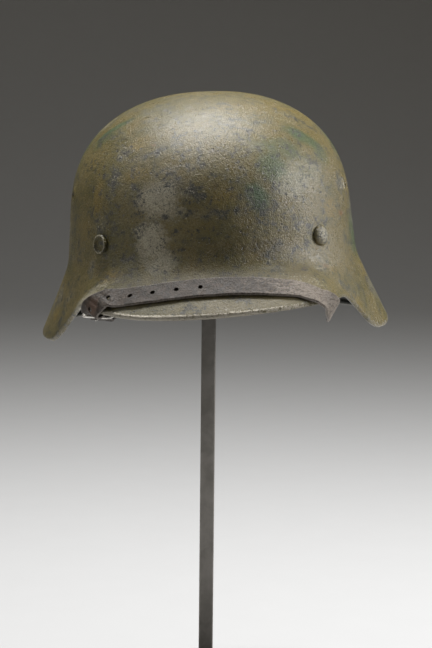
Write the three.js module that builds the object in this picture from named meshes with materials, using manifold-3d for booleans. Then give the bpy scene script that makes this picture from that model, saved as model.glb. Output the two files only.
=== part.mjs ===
// Steel combat helmet, its chin strap drawn over the visor, on a plain post stand.
// Millimetres, +Z up, the helmet's front towards -Y and its wearer's left towards +X.
// The origin is the middle of the underside of the stand's base.
import * as THREE from 'three';
import { mergeVertices } from 'three/addons/utils/BufferGeometryUtils.js';
import Module from 'manifold-3d';

const wasm = await Module();
wasm.setup();

// The shell, in its own frame: z is 0 at the lowest part of the rim, x and y are 0 at the crown's axis
const shell = {
  height: 161.5,        // crown above the lowest rim
  halfWidth: 98.6,      // axis to the wall at the crease, sideways
  frontLength: 112,     // axis to the wall at the crease, forwards
  rearLength: 111,      // and backwards
  planPower: 2.12,      // 2 makes the plan an ellipse, more makes it squarer
  capDepth: 83,         // the crown rounds over within this depth
  capPower: 2.28,
  capRound: 2.6,
  capSpread: 90.7,
  draft: 0.0786,        // the wall still widens by this much per mm below the cap
  crestShift: 6,        // the crown sits this far back
  wall: 1.2,
  beadRadius: 1.8,      // the rim rolled in on itself
  kneeShare: 0.45,      // the fillet takes no more than this share of the flare
  twist: 1.3,           // the visor's rim is this much higher on the viewer's right, lower on the left
  twistAzimuth: 20,     // and most so this many degrees from its middle
};

// Height and form of the rim around the shell, the same on both sides.
// azimuth: degrees from the front; reach: how far the flare stands out from the wall;
// rim: height of the rim; crease: height where wall and flare would meet; knee: size of the fillet there
const rimStations = [
  { azimuth: 0, reach: 33.5, rim: 26.0, crease: 53.0, knee: 13 },
  { azimuth: 18, reach: 32.5, rim: 27.0, crease: 53.0, knee: 13 },
  { azimuth: 32, reach: 26.0, rim: 29.0, crease: 52.5, knee: 12 },
  { azimuth: 43, reach: 15.5, rim: 29.5, crease: 51.5, knee: 9 },
  { azimuth: 54, reach: 11.8, rim: 19.5, crease: 50.5, knee: 7 },
  { azimuth: 64, reach: 13.8, rim: 6.8, crease: 49.8, knee: 6 },
  { azimuth: 73, reach: 16.6, rim: 1.2, crease: 49.4, knee: 6 },
  { azimuth: 82, reach: 19.4, rim: 0.8, crease: 49.2, knee: 6 },
  { azimuth: 95, reach: 21.8, rim: 2.4, crease: 49.0, knee: 6 },
  { azimuth: 125, reach: 26.5, rim: 3.2, crease: 48.0, knee: 9 },
  { azimuth: 155, reach: 30.0, rim: 3.2, crease: 47.0, knee: 13 },
  { azimuth: 180, reach: 31.0, rim: 3.2, crease: 47.0, knee: 14 },
];

// How finely the curved pieces are faceted
const facets = {
  columns: 84,          // around the shell
  domeRows: 10,
  kneeRows: 3,
  flareRows: 2,
  beadRows: 6,
  head: 20,             // round a rivet or a vent's boss
  headRows: 5,
  hole: 16,
  pin: 10,
  pad: 32,
  longStrap: 150,       // along each half of the strap
  shortStrap: 80,
};

const rivet = {
  azimuth: 41.5,        // front pair, either side
  height: 66.2,
  headRadius: 6.7,
  headHeight: 3.4,
  shankRadius: 2.5,
  clinchRadius: 5.5,    // spread end inside the shell
  clinchThickness: 1.2,
  clinchGap: 0.6,       // to the wall
  dishRadius: 4.4,      // the left head is dished
  dishDepth: 1.3,
  dishSlope: 1,
};

const vent = {
  azimuth: 70,
  height: 96,
  holeRadius: 2.3,
  bossRadius: 6.2,
  bossHeight: 1.0,
  bossSlope: 1.6,
};

const strap = {
  width: 15,
  thickness: 1.8,
  gapToShell: 0.5,
  fromRim: 14.6,        // lower edge to the rim, in the middle of the visor
  dropRight: 0.0205,    // the strap nears the rim by this times the azimuth squared
  dropLeft: 0.0160,
  holeRadius: 1.6,
  holePitch: 15,
  holesPastBuckle: 3,
  holesOnVisor: 6,
  foldLength: 4.2,      // the folds at the left temple take up this much more of the strap
  lapOnBale: 17,        // length doubled back and sewn at the bale
  lapOnBuckle: 13,
  lapGap: 0.4,          // between the two layers of a lap
  lapBend: 50,          // the lap leaves the bar this many degrees off straight
  lapSteps: 7,
  lapFlat: 0.6,         // its layers lie flat together from this share of its length on
};

const bale = {
  azimuth: 76,
  height: 58,
  standOff: 5.4,        // middle of the plate to the shell's inner face
  width: 24,
  length: 19,
  thickness: 1.6,
  slotWidth: 17,
  slotHeight: 6.5,
  barHeight: 2.6,
  footRadius: 4.5,
  footReach: 5.5,
  corner: 3,
  lean: 32,             // its slot end leans down by this many degrees from straight ahead
  toeIn: 8,             // and in from the wall by this many
};

const buckle = {
  outerWidth: 21,       // along the bars
  outerDepth: 16,       // across the bars
  wire: 2,
  edge: 0.6,            // chamfer of the wire
  slotRadius: 4,        // how far the short strap is cut away round the prong's eye
  prongRadius: 0.9,
  eyeRadius: 2.1,
  eyeWidth: 2.2,
  eyeGap: 0.45,         // round the rear bar
  pinRise: 1.7,         // the pin leaves the eye this far below the bar
  pinPast: 1.2,         // and its ends lie this far forward of the bars
};

const stand = {
  rimHeight: 276,       // lowest rim of the level helmet above the table
  helmetLean: 3,        // degrees, the viewer's right side higher
  leanPivot: 100,       // height in the shell about which it leans
  helmetShift: -0.7,    // the crown's axis is this far to the viewer's left of the post
  baseSide: 180,
  baseThickness: 8,
  baseCorner: 6,
  baseEdge: 1,
  postSide: 10,
  postChamfer: 1.2,
  padRadius: 32,
  padThickness: 12,
  padChamfer: 2,
  padDome: 5.5,         // its edge is this much lower than its middle
  postHeight: 414.6,
};

const gap = 0.3;        // clearance between pieces that meet
const cutter = 6;       // a hole's cutter reaches this far each way from the wall's face
const radians = THREE.MathUtils.degToRad;

// Materials

const paintedSteel = new THREE.MeshStandardMaterial({ color: 0x8f8660, roughness: 0.5, metalness: 0.3 });
const leather = new THREE.MeshStandardMaterial({ color: 0x6f6660, roughness: 0.7, metalness: 0 });
const brightSteel = new THREE.MeshStandardMaterial({ color: 0xb8b4ac, roughness: 0.35, metalness: 1 });
const darkSteel = new THREE.MeshStandardMaterial({ color: 0x3a3b3c, roughness: 0.45, metalness: 0.9 });
const standSteel = new THREE.MeshStandardMaterial({ color: 0x7d7c77, roughness: 0.4, metalness: 0.9 });
const rubber = new THREE.MeshStandardMaterial({ color: 0x1c1c1c, roughness: 0.8, metalness: 0 });

// Solids and cuts

function solidOf(geometry) {
  const bare = geometry.clone();
  bare.deleteAttribute('normal');
  bare.deleteAttribute('uv');
  const merged = mergeVertices(bare, 1e-4);
  return new wasm.Manifold(new wasm.Mesh({
    numProp: 3,
    vertProperties: new Float32Array(merged.attributes.position.array),
    triVerts: new Uint32Array(merged.index.array),
  }));
}

function geometryOf(solid) {
  const cut = solid.getMesh();
  const geometry = new THREE.BufferGeometry();
  geometry.setAttribute('position', new THREE.BufferAttribute(new Float32Array(cut.vertProperties), 3));
  geometry.setIndex(new THREE.BufferAttribute(new Uint32Array(cut.triVerts), 1));
  geometry.computeVertexNormals();
  return geometry;
}

function placed(geometry, matrix) {
  return geometry.clone().applyMatrix4(matrix);
}

// A round bar along +Z from one height to another
function bar(radius, from, to, sides) {
  const geometry = new THREE.CylinderGeometry(radius, radius, to - from, sides);
  geometry.rotateX(Math.PI / 2);
  geometry.translate(0, 0, (from + to) / 2);
  return geometry;
}

// A shape turned about +Z from pairs of radius and height
function turned(profile, sides) {
  const geometry = new THREE.LatheGeometry(profile.map(([r, z]) => new THREE.Vector2(r, z)), sides);
  geometry.rotateX(Math.PI / 2);
  return geometry;
}

// The shell's surface

// Smooth value of one column of the rim table at any azimuth
function between(column, azimuth) {
  const bend = Math.abs(((azimuth + 180) % 360 + 360) % 360 - 180);
  const last = rimStations.length - 1;
  const at = (i) => {
    if (i < 0) return { x: -rimStations[1].azimuth, y: rimStations[1][column] };
    if (i > last) return { x: 360 - rimStations[last - 1].azimuth, y: rimStations[last - 1][column] };
    return { x: rimStations[i].azimuth, y: rimStations[i][column] };
  };
  const slope = (a, b) => (b.y - a.y) / (b.x - a.x);
  const tangent = (i) => {
    const before = slope(at(i - 1), at(i));
    const after = slope(at(i), at(i + 1));
    if (before * after <= 0) return 0;
    const mean = slope(at(i - 1), at(i + 1));
    return Math.sign(after) * Math.min(Math.abs(mean), 3 * Math.abs(before), 3 * Math.abs(after));
  };
  let i = 0;
  while (i < last - 1 && rimStations[i + 1].azimuth <= bend) i += 1;
  const [from, to] = [at(i), at(i + 1)];
  const span = to.x - from.x;
  const t = (bend - from.x) / span;
  return (2 * t ** 3 - 3 * t ** 2 + 1) * from.y + (t ** 3 - 2 * t ** 2 + t) * span * tangent(i)
    + (3 * t ** 2 - 2 * t ** 3) * to.y + (t ** 3 - t ** 2) * span * tangent(i + 1);
}

// How much higher the visor's rim is at an azimuth than the table says
function rimTwist(azimuth) {
  const turn = ((azimuth + 180) % 360 + 360) % 360 - 180;
  const share = turn / shell.twistAzimuth;
  return shell.twist * share * Math.exp((1 - share ** 4) / 4);
}

// Distance from the axis to the wall at the crease
function wallRadius(azimuth) {
  const a = radians(azimuth);
  const length = Math.cos(a) > 0 ? shell.frontLength : shell.rearLength;
  const side = Math.abs(Math.sin(a) / shell.halfWidth) ** shell.planPower;
  const ahead = Math.abs(Math.cos(a) / length) ** shell.planPower;
  return (side + ahead) ** (-1 / shell.planPower);
}

// Width of the dome at a depth below the crown, before it is scaled to the wall
function capWidth(depth) {
  const left = THREE.MathUtils.clamp(1 - depth / shell.capDepth, 0, 1);
  return shell.capSpread * (1 - left ** shell.capRound) ** (1 / shell.capPower) + shell.draft * depth;
}

// Outer profile at an azimuth, as [radius, height]: dome for stage 0 to 1, fillet to 2, flare to 3
function profile(azimuth, stage) {
  const crease = between('crease', azimuth);
  const rim = between('rim', azimuth) + rimTwist(azimuth);
  const reach = between('reach', azimuth);
  const wall = wallRadius(azimuth);
  const flare = Math.hypot(reach, crease - rim);
  const knee = between('knee', azimuth);
  const kneeDepth = shell.height - crease - knee;
  const scale = wall / capWidth(shell.height - crease);
  if (stage <= 1) {
    const depth = kneeDepth * (1 - Math.cos(stage * Math.PI / 2));
    return [scale * capWidth(depth), shell.height - depth];
  }
  const along = Math.min(knee, shell.kneeShare * flare) / flare;
  const kneeEnd = [wall + reach * along, crease - (crease - rim) * along];
  if (stage <= 2) {
    const w = stage - 1;
    const start = [scale * capWidth(kneeDepth), shell.height - kneeDepth];
    const blend = (a, b, c) => (1 - w) ** 2 * a + 2 * w * (1 - w) * b + w * w * c;
    return [blend(start[0], wall, kneeEnd[0]), blend(start[1], crease, kneeEnd[1])];
  }
  const q = stage - 2;
  return [kneeEnd[0] + (wall + reach - kneeEnd[0]) * q, kneeEnd[1] + (rim - kneeEnd[1]) * q];
}

// Unit vector along the profile, downwards
function profileSlope(azimuth, stage) {
  const step = 1e-3;
  const [r0, z0] = profile(azimuth, Math.max(stage - step, 0));
  const [r1, z1] = profile(azimuth, Math.min(stage + step, 3));
  const length = Math.hypot(r1 - r0, z1 - z0);
  return [(r1 - r0) / length, (z1 - z0) / length];
}

// The crown sits back, more the higher it is
function setBack(azimuth, height) {
  const crease = between('crease', azimuth);
  const rise = THREE.MathUtils.clamp((height - crease) / (shell.height - crease), 0, 1);
  return shell.crestShift * rise ** 1.5;
}

function around(azimuth, radius, height, back) {
  const a = radians(azimuth);
  return new THREE.Vector3(radius * Math.sin(a), back - radius * Math.cos(a), height);
}

// A point on the outer surface, raised off it by lift
function onShell(azimuth, stage, lift = 0) {
  const [radius, height] = profile(azimuth, stage);
  const [out, down] = profileSlope(azimuth, stage);
  return around(azimuth, radius - down * lift, height + out * lift, setBack(azimuth, height));
}

// The stage of the flare that is a given distance from the rim
function flareStage(azimuth, fromRim) {
  const [r0, z0] = profile(azimuth, 2);
  const [r1, z1] = profile(azimuth, 3);
  return 3 - fromRim / Math.hypot(r1 - r0, z1 - z0);
}

// The stage of the dome at a given height
function domeStage(azimuth, height) {
  const kneeDepth = shell.height - between('crease', azimuth) - between('knee', azimuth);
  return Math.acos(1 - (shell.height - height) / kneeDepth) / (Math.PI / 2);
}

// A frame on the outer wall: its origin on the surface, +Z straight out of it, +Y up the wall
function wallFrame(azimuth, height) {
  const stage = domeStage(azimuth, height);
  const origin = onShell(azimuth, stage);
  const up = onShell(azimuth, stage - 1e-3).sub(origin).normalize();
  const aside = onShell(azimuth + 0.1, stage).sub(origin).normalize();
  const out = aside.clone().cross(up).normalize();
  aside.crossVectors(up, out);
  return new THREE.Matrix4().makeBasis(aside, up, out).setPosition(origin);
}

// Shell

// The closed section at one azimuth, from the crown outside, round the bead, to the crown inside
function shellSection(azimuth) {
  const rows = [];
  const stages = [];
  for (let i = 1; i <= facets.domeRows; i += 1) stages.push(i / facets.domeRows);
  for (let i = 1; i <= facets.kneeRows; i += 1) stages.push(1 + i / facets.kneeRows);
  for (let i = 1; i <= facets.flareRows; i += 1) stages.push(2 + i / facets.flareRows);
  for (const stage of stages) rows.push(onShell(azimuth, stage));

  const [rimRadius, rimHeight] = profile(azimuth, 3);
  const [out, down] = profileSlope(azimuth, 3);
  const bead = shell.beadRadius;
  const sweep = 2 * Math.PI - Math.acos((bead - shell.wall) / bead);
  for (let i = 1; i <= facets.beadRows; i += 1) {
    const turn = sweep * i / facets.beadRows;
    const along = bead * Math.sin(turn);
    const inward = bead * (1 - Math.cos(turn));
    rows.push(around(azimuth, rimRadius + out * along + down * inward,
      rimHeight + down * along - out * inward, 0));
  }
  const inner = stages.slice(0, -1).reverse();
  for (const stage of inner) rows.push(onShell(azimuth, stage, -shell.wall));
  return rows;
}

// Closed skin over rings of points, with one point at each end
function skin(rings, first, last) {
  const columns = rings.length;
  const rows = rings[0].length;
  const points = [first, ...rings.flat(), last];
  const index = [];
  const at = (column, row) => 1 + (column % columns) * rows + row;
  for (let c = 0; c < columns; c += 1) {
    index.push(0, at(c, 0), at(c + 1, 0));
    for (let r = 0; r < rows - 1; r += 1) {
      index.push(at(c, r), at(c, r + 1), at(c + 1, r + 1));
      index.push(at(c, r), at(c + 1, r + 1), at(c + 1, r));
    }
    index.push(at(c, rows - 1), points.length - 1, at(c + 1, rows - 1));
  }
  const geometry = new THREE.BufferGeometry().setFromPoints(points);
  geometry.setIndex(index);
  return geometry;
}

const frontRivets = [
  { name: 'rivet_front_right', azimuth: rivet.azimuth, dished: false },
  { name: 'rivet_front_left', azimuth: -rivet.azimuth, dished: true },
];
const rivets = [...frontRivets, { name: 'rivet_rear', azimuth: 180, dished: false }];

function shellGeometry() {
  const rings = [];
  for (let c = 0; c < facets.columns; c += 1) rings.push(shellSection(360 * c / facets.columns));
  const crown = new THREE.Vector3(0, shell.crestShift, shell.height);
  const crownInside = crown.clone().setZ(shell.height - shell.wall);
  let solid = solidOf(skin(rings, crown, crownInside));
  for (const side of [1, -1]) {
    const frame = wallFrame(side * vent.azimuth, vent.height);
    const sink = -shell.wall / 2;
    const boss = turned([[0, sink], [vent.bossRadius, sink], [vent.bossRadius, 0],
      [vent.bossRadius - vent.bossSlope, vent.bossHeight], [0, vent.bossHeight]], facets.head);
    const hole = bar(vent.holeRadius, -cutter, cutter, facets.hole);
    solid = solid.add(solidOf(placed(boss, frame))).subtract(solidOf(placed(hole, frame)));
  }
  for (const { azimuth } of rivets) {
    const hole = bar(rivet.shankRadius + gap, -cutter, cutter, facets.hole);
    solid = solid.subtract(solidOf(placed(hole, wallFrame(azimuth, rivet.height))));
  }
  return geometryOf(solid);
}

// Rivets: a head outside, a shank through the wall and a spread end inside

function rivetGeometry(dished) {
  const inside = -(shell.wall + rivet.clinchGap);
  const points = [[0, inside - rivet.clinchThickness], [rivet.clinchRadius, inside - rivet.clinchThickness],
    [rivet.clinchRadius, inside], [rivet.shankRadius, inside], [rivet.shankRadius, gap],
    [rivet.headRadius, gap]];
  const edge = dished ? rivet.dishRadius / rivet.headRadius : 0;
  for (let i = 1; i <= facets.headRows; i += 1) {
    const bend = Math.acos(edge) * i / facets.headRows;
    points.push([rivet.headRadius * Math.cos(bend), gap + rivet.headHeight * Math.sin(bend)]);
  }
  if (dished) {
    const floor = points[points.length - 1][1] - rivet.dishDepth;
    points.push([rivet.dishRadius - rivet.dishSlope, floor], [0, floor]);
  }
  points[points.length - 1][0] = 0;
  return turned(points, facets.head);
}

// Chin strap: flat bands swept through stations, each with its middle and the direction across it

function band(stations, steps, width = strap.width) {
  const middle = new THREE.CatmullRomCurve3(stations.map((s) => s.at), false, 'centripetal');
  const sideways = new THREE.CatmullRomCurve3(stations.map((s) => s.across), false, 'catmullrom', 0.5);
  const sections = [];
  for (let i = 0; i <= steps; i += 1) {
    const t = i / steps;
    const along = middle.getTangent(t);
    const across = sideways.getPoint(t);
    across.addScaledVector(along, -across.dot(along)).normalize();
    sections.push({ at: middle.getPoint(t), along, across, face: across.clone().cross(along) });
  }
  const corner = ({ at, across, face }, u, v) => at.clone()
    .addScaledVector(across, u * width / 2).addScaledVector(face, v * strap.thickness / 2);
  const corners = [[-1, 1], [1, 1], [1, -1], [-1, -1]];
  const points = sections.flatMap((section) => corners.map(([u, v]) => corner(section, u, v)));
  const index = [0, 2, 1, 0, 3, 2];
  for (let i = 0; i < steps; i += 1) {
    for (let k = 0; k < 4; k += 1) {
      const [a, b] = [4 * i + k, 4 * i + (k + 1) % 4];
      index.push(a, b, b + 4, a, b + 4, a + 4);
    }
  }
  const end = 4 * steps;
  index.push(end, end + 1, end + 2, end, end + 2, end + 3);
  const geometry = new THREE.BufferGeometry().setFromPoints(points);
  geometry.setIndex(index);
  return { geometry, sections };
}

const vector = (list) => new THREE.Vector3(...list);

// Bale frames: +X towards the slot end, which points forwards and down, +Z into the hollow
function baleFrame(side) {
  const reach = wallRadius(bale.azimuth) - shell.wall - bale.standOff;
  const origin = around(side * bale.azimuth, reach, bale.height, 0);
  const inward = around(side * bale.azimuth, -1, 0, 0);
  const up = new THREE.Vector3(0, 0, 1);
  const ahead = up.clone().cross(inward).multiplyScalar(side);
  ahead.addScaledVector(inward, Math.tan(radians(bale.toeIn))).normalize();
  const lean = radians(bale.lean);
  const toSlot = ahead.multiplyScalar(Math.cos(lean)).addScaledVector(up, -Math.sin(lean));
  const acrossPlate = inward.clone().cross(toSlot).normalize();
  const face = toSlot.clone().cross(acrossPlate);
  return new THREE.Matrix4().makeBasis(toSlot, acrossPlate, face).setPosition(origin);
}

// Middle of the bar beyond the slot, along the bale's own X
const baleBar = bale.length - bale.barHeight / 2;

function baleGeometry() {
  const outline = new THREE.Shape();
  outline.moveTo(0, bale.corner - bale.width / 2);
  outline.lineTo(bale.corner, -bale.width / 2);
  outline.lineTo(bale.length, -bale.width / 2);
  outline.lineTo(bale.length, bale.width / 2);
  outline.lineTo(bale.corner, bale.width / 2);
  outline.lineTo(0, bale.width / 2 - bale.corner);
  const slot = new THREE.Path();
  const slotEnd = bale.length - bale.barHeight;
  slot.moveTo(slotEnd, -bale.slotWidth / 2);
  slot.lineTo(slotEnd - bale.slotHeight, -bale.slotWidth / 2);
  slot.lineTo(slotEnd - bale.slotHeight, bale.slotWidth / 2);
  slot.lineTo(slotEnd, bale.slotWidth / 2);
  outline.holes.push(slot);
  const plate = new THREE.ExtrudeGeometry(outline, { depth: bale.thickness, bevelEnabled: false });
  plate.translate(0, 0, -bale.thickness / 2);
  const foot = bar(bale.footRadius, 2 * gap - bale.standOff, 0, facets.hole).translate(bale.footReach, 0, 0);
  return geometryOf(solidOf(plate).add(solidOf(foot)));
}

// A strap's end wrapped round a bar, from its cut end to the part that goes on. The frame's X points
// away from the bar, its Y runs along the bar and its Z is on the side of the cut end.
function lapAround(frame, across, barReach, clearance, lap) {
  const turn = clearance + strap.thickness / 2;
  const sheet = strap.thickness / 2 + strap.lapGap / 2;
  const row = (x, z) => ({ at: new THREE.Vector3(x, 0, z).applyMatrix4(frame), across });
  const flat = barReach + lap * strap.lapFlat;
  const rows = [row(barReach + lap, sheet), row(flat, sheet)];
  for (let i = 0; i <= strap.lapSteps; i += 1) {
    const a = radians(strap.lapBend + (360 - 2 * strap.lapBend) * i / strap.lapSteps);
    rows.push(row(barReach + turn * Math.cos(a), turn * Math.sin(a)));
  }
  rows.push(row(flat, -sheet), row(barReach + lap, -sheet));
  return rows;
}

// A strap's sewn end on the bale of one side
function onBale(side) {
  const frame = baleFrame(side);
  const down = new THREE.Vector3(0, -side, 0).transformDirection(frame);
  const clearance = Math.hypot(bale.thickness, bale.barHeight) / 2 + gap;
  return lapAround(frame, down, baleBar, clearance, strap.lapOnBale);
}

// Buckle frame: X along its bars, Y from its front bar to its rear bar, Z up; it lies under the left temple
function buckleFrame() {
  const bars = vector([0.957, -0.283, -0.07]).normalize();
  const inward = vector([0.29, 0.94, 0.14]);
  inward.addScaledVector(bars, -inward.dot(bars)).normalize();
  const up = bars.clone().cross(inward);
  const frontBar = vector([-74.7, -103, 22.1]);
  const middle = frontBar.addScaledVector(inward, buckle.outerDepth / 2 - buckle.wire / 2);
  return new THREE.Matrix4().makeBasis(bars, inward, up).setPosition(middle);
}

function buckleGeometry() {
  const box = (shape, width, depth) => {
    shape.moveTo(-width / 2, -depth / 2);
    shape.lineTo(width / 2, -depth / 2);
    shape.lineTo(width / 2, depth / 2);
    shape.lineTo(-width / 2, depth / 2);
    shape.closePath();
    return shape;
  };
  const { edge } = buckle;
  const outline = box(new THREE.Shape(), buckle.outerWidth - 2 * edge, buckle.outerDepth - 2 * edge);
  const inside = 2 * (buckle.wire - edge);
  outline.holes.push(box(new THREE.Path(), buckle.outerWidth - inside, buckle.outerDepth - inside));
  const geometry = new THREE.ExtrudeGeometry(outline, {
    depth: buckle.wire - 2 * edge,
    bevelThickness: edge,
    bevelSize: edge,
    bevelSegments: 1,
  });
  return geometry.translate(0, 0, edge - buckle.wire / 2);
}

const rearBar = buckle.outerDepth / 2 - buckle.wire / 2;

// The prong's pin, from the eye on the rear bar to its tip under the front bar
function pinGeometry(radius) {
  const eye = new THREE.Vector3(0, rearBar - buckle.pinPast, -buckle.pinRise);
  const tip = new THREE.Vector3(0, -rearBar - buckle.pinPast, -buckle.wire / 2 - gap - buckle.prongRadius);
  const toTip = tip.clone().sub(eye);
  const turn = new THREE.Quaternion().setFromUnitVectors(new THREE.Vector3(0, 0, 1), toTip.clone().normalize());
  return bar(radius, 0, toTip.length(), facets.pin).applyQuaternion(turn).translate(eye.x, eye.y, eye.z);
}

// A round bar along the buckle's rear bar
function onRearBar(radius, width) {
  return bar(radius, -width / 2, width / 2, facets.hole).rotateY(Math.PI / 2).translate(0, rearBar, 0);
}

function prongGeometry() {
  const eye = solidOf(onRearBar(buckle.eyeRadius, buckle.eyeWidth));
  const hole = solidOf(onRearBar(buckle.wire / 2 + buckle.eyeGap, 2 * buckle.eyeWidth));
  return geometryOf(eye.add(solidOf(pinGeometry(buckle.prongRadius))).subtract(hole));
}

// Stations of the long half, from its sewn end at the right bale to its free end past the buckle
function longStations() {
  const rightTemple = [
    { at: [79.0, -76, 26], across: [-0.30, 0.10, -0.95] },
    { at: [76.0, -91, 19.8], across: [-0.40, -0.15, -0.90] },
    { at: [76.0, -104.2, 19.6], across: [-0.51, -0.37, -0.78] },
    { at: [74.6, -113.4, 23.6], across: [-0.53, -0.55, -0.65] },
    { at: [70.0, -120.4, 29.4], across: [-0.30, -0.86, -0.42] },
  ];
  const visor = [];
  for (let azimuth = 24; azimuth >= -26; azimuth -= 5) {
    const drop = azimuth > 0 ? strap.dropRight : strap.dropLeft;
    const toMiddle = strap.fromRim - drop * azimuth ** 2 + strap.width / 2;
    const lift = strap.gapToShell + strap.thickness / 2;
    const [out, down] = profileSlope(azimuth, 3);
    visor.push({
      at: onShell(azimuth, flareStage(azimuth, toMiddle), lift),
      across: around(azimuth, out, down, 0),
    });
  }
  const leftTemple = [
    { at: [-66.8, -117.0, 35.2], across: [0.28, -0.80, -0.53] },
    { at: [-73.8, -115.0, 31.6], across: [0.52, -0.68, -0.52] },
    { at: [-77.6, -111.2, 27.2], across: [0.66, -0.50, -0.56] },
    { at: [-77.0, -107.4, 24.3], across: [0.86, -0.42, -0.28] },
  ];
  const inBuckle = buckleFrame();
  const bars = new THREE.Vector3(1, 0, 0).transformDirection(inBuckle);
  const path = [[-7, 2.6], [-3.6, 1.3], [-0.5, -1.8], [3, -4.4], [7, -4.9], [12, -4.6]];
  const through = path.map(([y, z]) => ({
    at: new THREE.Vector3(0, y, z).applyMatrix4(inBuckle),
    across: bars,
  }));
  const tail = [
    { at: [-64.5, -73, 21.6], across: [0.95, -0.28, 0.02] },
    { at: [-60.0, -61, 23.5], across: [0.96, -0.20, 0.05] },
    { at: [-56.0, -49, 29.0], across: [0.97, -0.10, 0.05] },
  ];
  const given = (rows) => rows.map((row) => ({ at: vector(row.at), across: vector(row.across) }));
  return [...onBale(1), ...given(rightTemple), ...visor, ...given(leftTemple), ...through, ...given(tail)];
}

// The point where the prong crosses the long half, in the buckle's frame
const crossing = { y: -0.3, z: -2.0 };

// Middles of the holes: one pitch apart, one of them on the prong
function holeSections(sections) {
  const inBuckle = buckleFrame().invert();
  let prong = 0;
  let nearest = Infinity;
  sections.forEach((section, i) => {
    const local = section.at.clone().applyMatrix4(inBuckle);
    const miss = Math.hypot(local.x, local.y - crossing.y, local.z - crossing.z);
    if (miss < nearest) {
      nearest = miss;
      prong = i;
    }
  });
  const walk = (step, count, taken) => {
    const found = [];
    let length = -taken;
    for (let i = prong; found.length < count && sections[i + step]; i += step) {
      length += sections[i].at.distanceTo(sections[i + step].at);
      if (length >= strap.holePitch * (found.length + 1)) found.push(sections[i + step]);
    }
    return found;
  };
  const onVisor = walk(-1, strap.holesOnVisor, strap.foldLength);
  return [sections[prong], ...onVisor, ...walk(1, strap.holesPastBuckle, 0)];
}

function longStrapGeometry() {
  const { geometry, sections } = band(longStations(), facets.longStrap);
  let solid = solidOf(geometry);
  for (const { at, along, across, face } of holeSections(sections)) {
    const frame = new THREE.Matrix4().makeBasis(across, along, face).setPosition(at);
    solid = solid.subtract(solidOf(placed(bar(strap.holeRadius, -cutter / 2, cutter / 2, facets.pin), frame)));
  }
  const pinRoom = placed(pinGeometry(buckle.prongRadius + gap), buckleFrame());
  return geometryOf(solid.subtract(solidOf(pinRoom)));
}

// The short half, from its sewn end at the left bale to the loop on the buckle's rear bar,
// with a slot in the loop for the prong's eye
function shortStrapGeometry() {
  const inBuckle = buckleFrame();
  const bars = new THREE.Vector3(1, 0, 0).transformDirection(inBuckle);
  const fromRearBar = new THREE.Matrix4().makeBasis(
    new THREE.Vector3(0, 1, 0),
    new THREE.Vector3(1, 0, 0),
    new THREE.Vector3(0, 0, -1),
  ).premultiply(inBuckle);
  const clearance = buckle.wire / 2 + buckle.eyeGap;
  const onBuckle = lapAround(fromRearBar, bars, rearBar, clearance, strap.lapOnBuckle).reverse();
  const hidden = [
    { at: vector([-72.5, -60.5, 35.5]), across: vector([0.25, 0.15, -0.95]) },
    { at: vector([-67.5, -68, 31.5]), across: vector([0.75, -0.05, -0.65]) },
  ];
  const { geometry } = band([...onBale(-1), ...hidden, ...onBuckle], facets.shortStrap);
  const slot = placed(onRearBar(buckle.slotRadius, buckle.eyeWidth + 2 * gap), inBuckle);
  const pinRoom = placed(pinGeometry(buckle.prongRadius + gap), inBuckle);
  return geometryOf(solidOf(geometry).subtract(solidOf(slot)).subtract(solidOf(pinRoom)));
}

// Stand: a square base, a square post with chamfered edges and a round pad under the crown

// A square with its corners cut off at an angle
function chamferedSquare(side, chamfer) {
  const half = side / 2;
  const inner = half - chamfer;
  const corners = [[inner, -half], [half, -inner], [half, inner], [inner, half],
    [-inner, half], [-half, inner], [-half, -inner], [-inner, -half]];
  return new THREE.Shape(corners.map(([x, y]) => new THREE.Vector2(x, y)));
}

function baseGeometry() {
  const outline = chamferedSquare(stand.baseSide - 2 * stand.baseEdge, stand.baseCorner);
  return new THREE.ExtrudeGeometry(outline, {
    depth: stand.baseThickness - 2 * stand.baseEdge,
    bevelThickness: stand.baseEdge,
    bevelSize: stand.baseEdge,
    bevelSegments: 1,
  }).translate(0, 0, stand.baseEdge);
}

function postGeometry() {
  const outline = chamferedSquare(stand.postSide, stand.postChamfer);
  return new THREE.ExtrudeGeometry(outline, { depth: stand.postHeight, bevelEnabled: false });
}

// The pad's top follows the inside of the crown at its own radius, from the middle outwards
function padGeometry() {
  const rim = stand.padRadius;
  const drop = (r) => stand.padDome * (r / rim) ** shell.capPower;
  const under = -stand.padThickness;
  const points = [[0, under], [rim - stand.padChamfer, under], [rim, under + stand.padChamfer]];
  for (const part of [1, 0.85, 0.65, 0.4, 0]) points.push([rim * part, -drop(rim * part)]);
  return turned(points, facets.pad);
}

// Assembly

function piece(name, geometry, material, matrix) {
  const mesh = new THREE.Mesh(geometry, material);
  mesh.name = name;
  if (matrix) mesh.applyMatrix4(matrix);
  return mesh;
}

const helmet = new THREE.Group();
helmet.add(piece('shell', shellGeometry(), paintedSteel));
for (const { name, azimuth, dished } of rivets) {
  helmet.add(piece(name, rivetGeometry(dished), paintedSteel, wallFrame(azimuth, rivet.height)));
}
helmet.add(piece('bale_right', baleGeometry(), darkSteel, baleFrame(1)));
helmet.add(piece('bale_left', baleGeometry(), darkSteel, baleFrame(-1)));
helmet.add(piece('buckle_frame', buckleGeometry(), brightSteel, buckleFrame()));
helmet.add(piece('buckle_prong', prongGeometry(), brightSteel, buckleFrame()));
helmet.add(piece('strap_long', longStrapGeometry(), leather));
helmet.add(piece('strap_short', shortStrapGeometry(), leather));

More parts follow.
